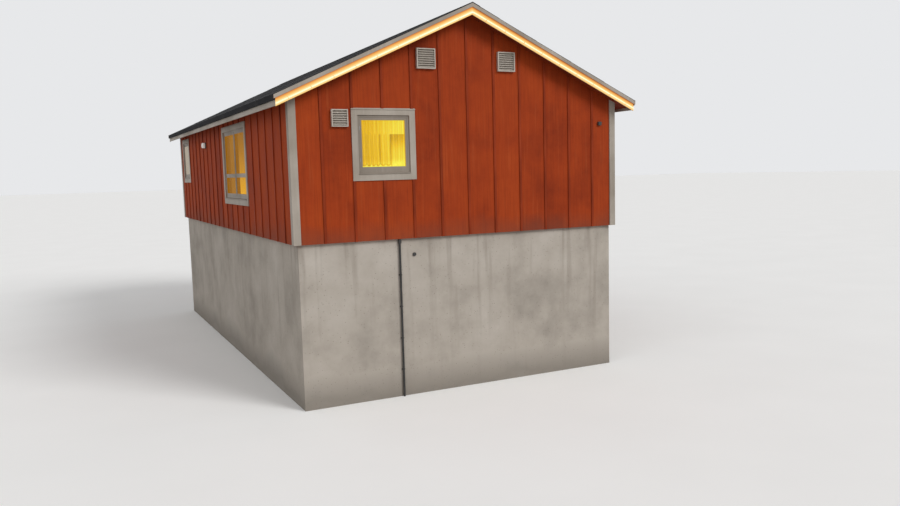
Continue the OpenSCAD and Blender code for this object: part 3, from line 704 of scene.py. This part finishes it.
FELT_LAP, END_LAP, STEP_RUN = 0.0045, 0.003, 0.001
ROLL_ENDS = (-1.60, 2.30)
TOP_COURSE_LEAST = 0.3
FELT_ROW_STEP = 0.1
CAP_REACH = 0.160
CLOUT_STEP, CLOUT_INSET, CLOUT_SUNK = 0.15, 0.03, 0.001


def roll_end_step(reach, y):
    """How far the felt lies lower just past the end of a roll that laps the next one; it rises back over a
    metre. A roll ends at one place in every other course, and at a second place in those between."""
    course = np.floor((ROOF_X - reach) / FELT_COURSE + 1e-6)
    past = y - np.where(course % 2, *ROLL_ENDS)
    return END_LAP * (past > 0) * np.clip(1 - past, 0, 1)


def felt_courses(side):
    """Felt laid from the eaves up in level courses: its thickness grows towards each course's lower edge and
    steps down there to the course below, and the whole sags and wrinkles by under a millimetre."""
    reach, rise = [0.0], [FELT_V]
    start, first = 0.0, FELT_V
    for edge in np.arange(ROOF_X, TOP_COURSE_LEAST, -FELT_COURSE)[::-1]:
        inside = np.linspace(start, edge, 7)[1:]
        reach += inside.tolist()
        rise += (first + (FELT_V - first) * (inside - start) / (edge - start)).tolist()
        if edge < ROOF_X:
            reach.append(edge + STEP_RUN)
            rise.append(FELT_V - FELT_LAP)
        start, first = edge + STEP_RUN, FELT_V - FELT_LAP
    reach, rise = np.array(reach), np.array(rise)
    even = np.linspace(-ROOF_Y, ROOF_Y, round(2 * ROOF_Y / FELT_ROW_STEP) + 1)
    ends = np.array(ROLL_ENDS)
    y = np.sort(np.concatenate([even, ends, ends + STEP_RUN]))[:, None]
    wrinkle = 0.0004 * (np.sin(5.1 * y + 2.3 * reach) + np.sin(13.7 * y - 6.1 * reach)) - 0.0008
    top = np.minimum(rise + wrinkle * (rise < FELT_V - 1e-6), rise) - roll_end_step(reach, y)
    height = np.concatenate([top, np.zeros((len(y), 2))], 1)
    x = np.concatenate([reach, [ROOF_X, 0.0]])
    return grid(joined(side * x, y, RIDGE_Z - x * SLOPE + height), closed=True, capped=True)


for side, name in SIDES:
    piece(f"felt_{name}", [felt_courses(side)], FELT, "roofing_felt", [f"covering_{name}"], smooth=20)


def felt_nails(side):
    """Clout nails through the felt near its edges: along the eaves and up both gables. They sit on the
    courses, which thin out by the lap's depth from each lower edge up to the next."""
    count = int((ROOF_Y - CLOUT_INSET) / CLOUT_STEP)
    along = np.arange(-count, count + 1) * CLOUT_STEP
    run = np.arange(CAP_REACH + 0.05, ROOF_X - 2 * CLOUT_INSET, CLOUT_STEP)
    reach = np.concatenate([np.full_like(along, ROOF_X - CLOUT_INSET), run, run])
    verge = np.full_like(run, ROOF_Y - CLOUT_INSET)
    y = np.concatenate([along, -verge, verge])
    thinner = FELT_LAP * ((ROOF_X - reach) % FELT_COURSE) / FELT_COURSE + roll_end_step(reach, y)
    height = RIDGE_Z - reach * SLOPE + FELT_V - thinner - CLOUT_SUNK
    return studs(joined(side * reach, y, height), (0.0, -side, 0.0), down_slope(side), 0.0045, 0.002)


for side, name in SIDES:
    piece(f"felt_nails_{name}", [felt_nails(side)], ZINC, "vent_paint")


# Rope light, on the front bargeboards

FRONT_OUT = WALLS["front"][2]
ROPE_BEND = 0.03
PLUG_R, PLUG_L = 0.009, 0.020
CLIP_STEP, FIRST_CLIP = 0.42, 0.30
CLIP_W, CLIP_T, CLIP_FOOT, CLIP_NAIL = 0.014, 0.0014, 0.030, 0.024


def rope_light():
    """A round tube up one slope, round the ridge and down the other, with a plug in each end. Its line's
    level distance from the ridge is the root of the run squared and the bend squared."""
    run = np.linspace(-BOARD_X, BOARD_X, 420)
    height = ROPE_LINE_TOP - np.sqrt(run ** 2 + ROPE_BEND ** 2) * SLOPE
    line = joined(run, -BOARD_Y - ROPE_D / 2, height)
    radius = np.where(np.abs(run) > BOARD_X - PLUG_L, PLUG_R, ROPE_D / 2)
    side = np.cross(directions(line), FRONT_OUT)
    turn = circle(1.0, 14)
    points = line[:, None] + radius[:, None, None] * (
        turn[None, :, :1] * FRONT_OUT + turn[None, :, 1:] * side[:, None])
    travelled = np.concatenate([[0], np.cumsum(np.linalg.norm(np.diff(line, axis=0), axis=1))])
    far = np.repeat(travelled, len(turn))
    front = np.tile(np.clip(turn[:, 0], 0, 1), len(line))
    piece("rope_light_tube", [grid(points, True, True)], ROPE, "rope_light", ["rope_light"], smooth=40,
          along=far, front=front)


def rope_clips():
    """Saddle clips and their nails: each clip is a band that follows the rope's outside between two feet on
    the board, with a nail through each foot."""
    radius, on_board = ROPE_D / 2 + 0.0005, -ROPE_D / 2
    turn = np.linspace(-math.pi / 2, math.pi / 2, 11)
    arc = np.stack([radius * np.cos(turn), radius * np.sin(turn)], -1)
    path = np.concatenate([[(on_board, -CLIP_FOOT), (on_board, -radius)], arc,
                           [(on_board, radius), (on_board, CLIP_FOOT)]])
    half = CLIP_W / 2
    profile = [(-half, 0), (half, 0), (half, CLIP_T), (-half, CLIP_T)]
    shapes, heads = [], []
    for side in (-1, 1):
        down = down_slope(side)
        over = np.cross(down, FRONT_OUT)
        for run in np.arange(FIRST_CLIP, BOARD_X, CLIP_STEP):
            middle = np.array((side * run, -BOARD_Y - ROPE_D / 2, ROPE_LINE_TOP - run * SLOPE))
            line = middle + path[:, :1] * FRONT_OUT + path[:, 1:] * over
            shapes.append(strap(line, profile, down, FRONT_OUT))
            heads += [middle + (on_board + CLIP_T) * FRONT_OUT + end * CLIP_NAIL * over for end in (-1, 1)]
    piece("rope_clips", shapes, CLEAR_PVC, "rope_light", smooth=35)
    nails = studs(np.array(heads), (1.0, 0.0, 0.0), UP, 0.0035, 0.0012)
    piece("rope_clip_nails", [nails], ZINC, "vent_paint")


rope_light()
rope_clips()


# Windows

SASH_FACE = -(FRAME_RECESS + SASH_RECESS)
PANE_FACE = SASH_FACE - (SASH_T - GLASS_T) / 2
BEAD = [(0.0, PANE_FACE), (0.006, PANE_FACE), (0.006, PANE_FACE + 0.002), (0.003, SASH_FACE - 0.002),
        (0.0, SASH_FACE - 0.002)]
HINGE_R, HINGE_L, HINGE_OUT = 0.0065, 0.070, 0.002
HINGE_UP, HINGE_DOWN = 0.16, 0.23
FLASHING_PAST = 0.006
FLASHING = [(0.0, 0.012), (0.0, 0.0), (0.0265, 0.0), (0.0285, -0.016), (0.0325, -0.020), (0.0335, -0.0192),
            (0.0300, -0.0150), (0.0280, 0.0015), (0.0015, 0.0030), (0.0015, 0.0120)]


def window_lights(size):
    """Each clear light inside a frame as left edge and width, from the frame's left edge."""
    clear = size[0] - 2 * FRAME_FACE
    if size is SINGLE:
        return [(FRAME_FACE, clear)]
    light = (clear - POST_W) / 2
    return [(FRAME_FACE, light), (FRAME_FACE + light + POST_W, light)]


def window_panes(middle, size):
    """Each pane's visible rectangle on its wall: left, right, low, high."""
    foot = HEAD_Z - size[1]
    low, high = foot + FRAME_FOOT + BOTTOM_RAIL, HEAD_Z - FRAME_FACE - TOP_RAIL
    bar = (foot + BAR_Z - BAR_H / 2, foot + BAR_Z + BAR_H / 2)
    rows = [(low, high)] if size is SINGLE else [(low, bar[0]), (bar[1], high)]
    left = middle - size[0] / 2
    return [(left + edge + STILE_W, left + edge + width - STILE_W, *row)
            for edge, width in window_lights(size) for row in rows]


def hinges(wall, middle, size):
    """Two hinge knuckles at the outer stile of each light, where frame and sash meet."""
    left = middle - size[0] / 2
    heights = (HEAD_Z - size[1] + FRAME_FOOT + HINGE_UP, HEAD_Z - FRAME_FACE - HINGE_DOWN)
    lights = window_lights(size)
    edges = [left + lights[0][0]] if size is SINGLE else [left + lights[0][0], left + sum(lights[1])]
    place = np.array([(edge, height) for edge in edges for height in heights])
    return upright_bars(wall, place[:, :1], circle(HINGE_R, 10), SASH_FACE + HINGE_OUT, place[:, 1:], HINGE_L)


def head_flashing(wall, rect):
    """A folded strip over a casing, painted with it: out from the boarding and down over the casing's edge,
    with a drip."""
    left, right, _, high = rect
    return level_bar(wall, (left - FLASHING_PAST, right + FLASHING_PAST), FLASHING, 0.0, high)


beads, knuckles, flashings = {True: [], False: []}, [], []
for wall, middle, size in WINDOWS:
    beads[wall in GABLES] += [mitred(wall, pane, BEAD) for pane in window_panes(middle, size)]
    knuckles.append(hinges(wall, middle, size))
    flashings.append(head_flashing(wall, casing_rect(middle, size)))
flashings.append(head_flashing("right", DOOR_RECT))
piece("glazing_beads_gables", beads[True], JOINERY_GABLE, "white_joinery")
piece("glazing_beads_sides", beads[False], JOINERY_SIDE, "white_joinery")
piece("sash_hinges", knuckles, ZINC, "handle_steel", smooth=40)
piece("head_flashings", flashings, TRIM_LEVEL, "pale_trim")


# Curtains, gathered: full-height ones on a track, and short ones on a rod over them in the gables' windows

FOLD_MIDDLE = FRAME_RECESS + FRAME_D + CURTAIN_GAP + CURTAIN_T / 2
CLOTH_STEP = 0.0055
TRACK_DROP = 0.014
TRACK_SECTION = [(-0.009, 0), (0.009, 0), (0.009, -0.013), (0.003, -0.013), (0.003, -0.0115),
                 (0.0075, -0.0115), (0.0075, -0.0015), (-0.0075, -0.0015), (-0.0075, -0.0115),
                 (-0.003, -0.0115), (-0.003, -0.013), (-0.009, -0.013)]
ROD_R, ROD_DROP, ROD_PAST = 0.0045, 0.016, 0.008
RINGS, RING_R, WIRE_R, RING_GAP = 15, 0.0058, 0.0009, 0.12
SCALLOP, HOLE_RISE, HOLE_R, FOOT_HEM = 0.055, 0.045, 0.009, 0.022
CAFE_DROP, CAFE_FOOT = 0.345, 0.018
# How deep each cloth hangs, from FOLD_MIDDLE: behind the short panels, the rod, and the short panels
BEHIND_SHORT, ROD_DEPTH, SHORT_DEPTH = 0.013, -0.002, -0.014
# Where the two full-height halves meet, as a share of the width, how far they lap and how far apart they hang
MEET = {"single": 0.42, "double": 0.50}
MEET_LAP, MEET_APART = 0.02, 0.004
# Folds as their spacing and their depth at the head and at the foot, and side hems as width and brightness
GABLE_FOLD, SIDE_FOLD, SHORT_FOLD = (0.095, 0.005, 0.008), (0.075, 0.0085, 0.017), (0.095, 0.004, 0.007)
LONG_HEM, SHORT_HEM = (0.030, 0.93), (0.013, 0.62)


def curtain(name, wall, span, heights, depth, finish, seed, glow, fold, side_hem, scallops=0, shade=0.0):
    """Makes one curtain and gives its flat size and area. Each fold, of its own width and depth, stands on
    the flat cloth's width as a cosine, and wanders sideways towards the foot. Scallops hang from a foot line
    that rises between them, as one minus the root of a sine. lit is how much lamp light comes through: the
    glow at that place, less where the cloth runs edge on, at its side hems and under its head by shade; small
    holes above the scallops let more through, and their turned hem less."""
    (left, right), (low, high) = span, heights
    rng = np.random.default_rng(seed)
    width = right - left
    folds = max(2, round(width / fold[0]))
    knots = np.concatenate([[0], np.cumsum(rng.uniform(0.6, 1.4, folds))])
    columns, rows = round(width / CLOTH_STEP), 60 if scallops else 22
    s = np.linspace(0, 1, columns)
    phase = 2 * math.pi * np.interp(s, knots / knots[-1], np.arange(folds + 1))
    t = np.linspace(0, 1, rows)[:, None]
    phase = phase + 0.5 * np.sin(2.2 * t + rng.uniform(0, 6)) * (1 - t)
    size = (fold[1] * t + fold[2] * (1 - t)) * (0.8 + 0.35 * np.sin(phase / 3.1 + seed)) / 1.15
    along = left + width * s - 0.5 * size * np.sin(2 * phase) * np.minimum(1, 20 * s * (1 - s))
    edge = low + bool(scallops) * SCALLOP * (1 - np.sqrt(np.abs(np.sin(math.pi * scallops * s))))
    height = edge + (high - edge) * t
    points = on_wall(wall, along, -(depth + size * np.cos(phase)), height)
    steps = np.linalg.norm(np.diff(on_wall(wall, along, -size * np.cos(phase), 0.0), axis=1), axis=2)
    across = np.concatenate([np.zeros((rows, 1)), np.cumsum(steps, 1)], 1)
    hem = (across < side_hem[0]) | (across > across[:, -1:] - side_hem[0])
    lit = glow(along, height) * (1 - 0.14 * np.sin(phase) ** 2) * np.where(hem, side_hem[1], 1)
    lit = lit - 0.04 * np.cos(phase) - shade * np.exp(-((high - height) / 0.22) ** 2)
    if scallops:
        hole = ((3 * scallops * s) % 1 - 0.5) ** 2 / 0.05 + ((height - edge - HOLE_RISE) / HOLE_R) ** 2
        lit = lit + 0.25 * np.exp(-hole) - 0.20 * np.exp(-((height - edge) / FOOT_HEM) ** 2)
    made = piece(name, [grid(points)], finish, "curtain", ["curtains"], smooth=60,
                 cloth_map=np.stack([across, height - low], -1).reshape(-1, 2), lit=lit.ravel())
    flat = float(steps.sum(1).mean())
    return made, (flat, high - low), flat * float((high - edge).mean())


def rod_and_rings(wall, ends, depth, height):
    """A round rod between the linings, behind the cloth's head, and the split rings that carry the cloth: a
    wire bent round a circle, open at its foot."""
    shapes = [level_bar(wall, ends, circle(ROD_R, 12), -depth, height)]
    turn = np.linspace(-math.pi / 2 + RING_GAP, 3 * math.pi / 2 - RING_GAP, 15)[:, None]
    wire = circle(WIRE_R, 6)
    reach = RING_R + wire[None, :, 0]
    drop = RING_R - WIRE_R - ROD_R
    for place in ends[0] + (ends[1] - ends[0]) * (np.arange(RINGS) + 0.5) / RINGS:
        shapes.append(grid(on_wall(wall, place + wire[None, :, 1], reach * np.cos(turn) - depth,
                                   height - drop + reach * np.sin(turn)), True, True))
    return shapes


def gable_glow(middle, at_foot=0.42):
    """Brighter towards the right and the foot, as from a lamp that stands there."""
    return lambda along, height: (0.70 + 0.44 * (along - middle) / SINGLE[0]
                                  + at_foot * np.clip(((HEAD_Z - height) / SINGLE[1] - 0.74) / 0.08, 0, 1))


def side_glow(middle):
    """Brighter towards the front's lower half, where a lamp stands close."""
    return lambda along, height: (0.50 + 0.55 * np.clip((along - middle) / 0.45 + 1.25, 0, 1)
                                  * ((HEAD_Z - height) / DOUBLE[1] - 0.15))


def even_glow(middle):
    """No lamp close behind it: the room's light is painted the same all over."""
    return lambda along, height: 0.62 + 0.05 * (along - middle)


for number, (wall, middle, size) in enumerate(WINDOWS):
    gable = wall in GABLES
    kind = "double" if size is DOUBLE else "single"
    reach = size[0] / 2 - LINING_T - CURTAIN_EDGE
    left, right = middle - reach, middle + reach
    head, foot = HEAD_Z - LINING_T, HEAD_Z - size[1] + LINING_T + CURTAIN_EDGE
    cloth, glow = (YELLOW_CLOTH, gable_glow) if gable else (
        (AMBER_CLOTH, side_glow) if size is DOUBLE else (GREY_CLOTH, even_glow))
    depth = FOLD_MIDDLE + BEHIND_SHORT * gable
    track = level_bar(wall, (left, right), TRACK_SECTION, -depth, head)
    rail = piece(f"curtain_track_{wall}_{kind}", [track], TRACK, "white_joinery")
    meet = left + MEET[kind] * (right - left)
    for half, span, apart in (("a", (left, meet + MEET_LAP), MEET_APART),
                              ("b", (meet - MEET_LAP, right), -MEET_APART)):
        made, flat, _ = curtain(f"curtain_{wall}_{kind}_{half}", wall, span, (foot, head - TRACK_DROP),
                                depth + apart, cloth, 10 * number + (half == "b"), glow(middle),
                                GABLE_FOLD if gable else SIDE_FOLD, LONG_HEM)
    if not gable:
        continue
    top = HEAD_Z - CAFE_DROP
    ends = (left - ROD_PAST, right + ROD_PAST)
    rod = piece(f"cafe_rod_{wall}", rod_and_rings(wall, ends, FOLD_MIDDLE + ROD_DEPTH, top - ROD_DROP), BRASS,
                "handle_steel", smooth=50)
    scalloped_foot = HEAD_Z - size[1] + FRAME_FOOT + BOTTOM_RAIL + CAFE_FOOT
    # Each short panel as its left and right edge, its scallops, the shade under its head and the foot's glow
    for part, start, end, scallops, shade, at_foot in (
            ("a", left + 0.004, middle - 0.036, 5, 0.0, 0.08),
            ("b", middle - 0.032, middle + 0.181, 2, 0.0, 0.08),
            ("c", middle + 0.185, right - 0.004, 0, 0.30, 0.25)):
        heights = (scalloped_foot if scallops else foot, top)
        made, flat, area = curtain(f"cafe_curtain_{wall}_{part}", wall, (start, end), heights,
                                   FOLD_MIDDLE + SHORT_DEPTH, cloth, 60 + 3 * number + ord(part),
                                   gable_glow(middle + 0.1, at_foot), SHORT_FOLD, SHORT_HEM, scallops, shade)


# Door

LEAF_W = DOOR_W - 2 * (DOOR_FACE + DOOR_GAP)
LEAF_FOOT = DOOR_FOOT + THRESHOLD
LEAF_H = HEAD_Z - DOOR_FOOT - DOOR_FACE - THRESHOLD - DOOR_GAP
LEAF_FACE = -(FRAME_RECESS + LEAF_RECESS)
DOOR_BOARDS, DOOR_BOARD_T, DOOR_BOARD_INSET = 8, 0.007, 0.004
RAIN_BAR_INSET = 0.012
RAIN_BAR = [(0, 0.012), (0.034, 0.012), (0.036, 0.020), (0.007, 0.070), (0, 0.070)]
KNUCKLE_R, KNUCKLE_L, KNUCKLE_OUT = 0.008, 0.100, 0.010
KEY_IN, KEY_UP, KEY_R = 0.070, 0.915, 0.025


def door_boards():
    """Upright matched boards on the leaf's face, with V-joints."""
    width = LEAF_W / DOOR_BOARDS
    section = chamfered(width - 0.0005, DOOR_BOARD_T, DOOR_BOARD_T / 2)
    middle = DOOR_MIDDLE - LEAF_W / 2 + width * (np.arange(DOOR_BOARDS) + 0.5)
    return upright_bars("right", middle[:, None], section, LEAF_FACE, LEAF_FOOT + DOOR_BOARD_INSET,
                        LEAF_H - 2 * DOOR_BOARD_INSET)


def rain_bar():
    """A tapered bar at the boards' foot that throws water clear of the threshold."""
    ends = [DOOR_MIDDLE + side * (LEAF_W / 2 - RAIN_BAR_INSET) for side in (-1, 1)]
    return level_bar("right", ends, RAIN_BAR, LEAF_FACE, LEAF_FOOT)


def door_hinges():
    """Three knuckles on the side away from the handle."""
    edge = DOOR_MIDDLE - LEAF_W / 2 - DOOR_GAP / 2
    heights = LEAF_FOOT + np.array((0.18, LEAF_H / 2, LEAF_H - 0.28))[:, None]
    return upright_bars("right", edge, circle(KNUCKLE_R, 12), LEAF_FACE + KNUCKLE_OUT, heights, KNUCKLE_L)


def key_rose():
    """A round rose over the lock, under the handle."""
    along = np.array([DOOR_MIDDLE + DOOR_W / 2 - DOOR_FACE - DOOR_GAP - KEY_IN])
    place = on_wall("right", along, LEAF_FACE + DOOR_BOARD_T, LEAF_FOOT + KEY_UP)
    return studs(place, WALLS["right"][1], UP, KEY_R, 0.006, 24)


piece("door_boards", [door_boards()], DOOR_PAINT, "door_paint")
piece("door_rain_bar", [rain_bar()], DOOR_PAINT, "door_paint")
piece("door_hinges", [door_hinges()], STEEL, "handle_steel", smooth=40)
piece("door_key_rose", [key_rose()], STEEL, "handle_steel", smooth=50)


# Small fastenings

VENT_T, SCREW_INSET = 0.060, 0.010
# Each vent as its middle along the wall, its middle's height, its width and its own height
ROOM_VENT = (-2.6475, HEAD_Z + CASING_W - 0.1775, 0.315, 0.315)
ROOF_VENTS = [(side * 0.885, BASEMENT_H + 3.410, 0.390, 0.380) for side in (-1, 1)]
CASING_NAIL_STEP = 0.4


def corner_screws(wall, vents):
    """A screw head in each corner of each vent's face."""
    place = np.array([(middle + sx * (width / 2 - SCREW_INSET), level + sz * (tall / 2 - SCREW_INSET))
                      for middle, level, width, tall in vents for sx in (-1, 1) for sz in (-1, 1)])
    return studs(on_wall(wall, place[:, 0], VENT_T, place[:, 1]), WALLS[wall][1], UP, 0.0045, 0.002)


def nail_row(start, end):
    """Places along a board, three or more, from 0.04 to 0.96 of its length."""
    count = max(3, round((end - start) / CASING_NAIL_STEP))
    return start + (end - start) * np.linspace(0.04, 0.96, count)


def casing_nails(wall):
    """Nail heads along the middle of each window casing's four boards."""
    heads = []
    for its_wall, middle, size in WINDOWS:
        if its_wall != wall:
            continue
        left, right, low, high = casing_rect(middle, size)
        across, up = nail_row(left, right), nail_row(low, high)
        heads += [on_wall(wall, along, TRIM_T, up) for along in (left + CASING_W / 2, right - CASING_W / 2)]
        heads += [on_wall(wall, across, TRIM_T, level) for level in (low + CASING_W / 2, high - CASING_W / 2)]
    return studs(np.concatenate(heads), WALLS[wall][1], UP, 0.0045, 0.0014)


for wall, vents in (("front", [ROOM_VENT, *ROOF_VENTS]), ("back", ROOF_VENTS)):
    piece(f"vent_screws_{wall}", [corner_screws(wall, vents)], ZINC, "vent_paint")
for wall in WALLS:
    piece(f"casing_nails_{wall}", [casing_nails(wall)], TRIM_UPRIGHT, "pale_trim")


# Camera, light and floor

def camera():
    """The photograph's camera, worked out from the house's lines: 793.30 pixels of focal length on a frame
    900 wide, turned 26.37 degrees to the right, tipped 6.13 down and leaning 1.51. The frame is moved up by
    3.6 pixels, which leaves the whole roof in it."""
    focal, frame_width, sensor = 793.30, 900.0, 36.0
    yaw, tip, lean = 0.4603, -0.1070, -0.0263
    ahead = np.array((math.sin(yaw) * math.cos(tip), math.cos(yaw) * math.cos(tip), math.sin(tip)))
    right = np.array((math.cos(yaw), -math.sin(yaw), 0.0))
    up = np.cross(right, ahead)
    right, up = math.cos(lean) * right + math.sin(lean) * up, math.cos(lean) * up - math.sin(lean) * right
    lens = bpy.data.cameras.new("camera")
    lens.sensor_width = sensor
    lens.lens = focal * sensor / frame_width
    lens.shift_y = 0.004
    lens.clip_end = 1000.0
    made = put("camera", lens)
    turn = np.eye(4)
    turn[:3, :3] = np.stack([right, up, -ahead], 1)
    turn[:3, 3] = (-7.4041, -20.5783, 4.3635)
    made.matrix_world = Matrix(turn.tolist())
    bpy.context.scene.camera = made


def sun(name, azimuth, elevation, strength, angle):
    """A soft distant lamp; azimuth 0 shines from the front, 90 from the right."""
    lamp = bpy.data.lights.new(name, "SUN")
    lamp.energy, lamp.angle = strength, math.radians(angle)
    put(name, lamp).rotation_euler = (math.radians(90 - elevation), 0, math.radians(azimuth))


def seen_directly(new):
    """1 for rays from the camera, from gloss and through glass, and 0 for the light that falls on things."""
    path = new("LightPath").node.outputs
    seen = new("Math", {0: path["Is Camera Ray"], 1: path["Is Glossy Ray"]}, operation="MAXIMUM")
    return new("Math", {0: seen, 1: path["Is Transmission Ray"]}, operation="MAXIMUM")


def world():
    """An even pale surround: it lights the house at 0.52 and shows as light grey."""
    made = bpy.data.worlds.new("studio")
    new = emptied(made)
    strength = new("MapRange", {"Value": seen_directly(new), "To Min": 0.52, "To Max": 0.86})
    light = new("Background", {"Color": "#f7f8fa", "Strength": strength})
    new("OutputWorld", {"Surface": light})
    bpy.context.scene.world = made


def floor():
    """A level pale floor that keeps the house's shadow. It shows paler than it reflects, so that it meets the
    surround without lighting the walls from below."""
    half = 300.0
    mesh = bpy.data.meshes.new("floor")
    mesh.from_pydata([(-half, -half, 0), (half, -half, 0), (half, half, 0), (-half, half, 0)], [],
                     [(0, 1, 2, 3)])

    def build(new):
        place = new("TexCoord", output="Object")
        faint = new("TexNoise", {"Vector": place, "Scale": 0.5, "Detail": 3.0})
        shown = new("Mix", {0: faint, 6: "#f6f5f3", 7: "#fbfaf8"}, **COLOURS)
        tone = new("Mix", {0: seen_directly(new), 6: "#cccac7", 7: shown}, **COLOURS)
        return {"Base Color": tone, "Roughness": 0.95, "Specular IOR Level": 0.0}

    mesh.materials.append(material("studio_floor", build))
    made = put("floor", mesh)


camera()
floor()
world()
sun("key", 30, 32, 1.65, 25)
sun("fill", -60, 30, 0.42, 50)
bpy.context.scene.view_settings.view_transform = "Standard"
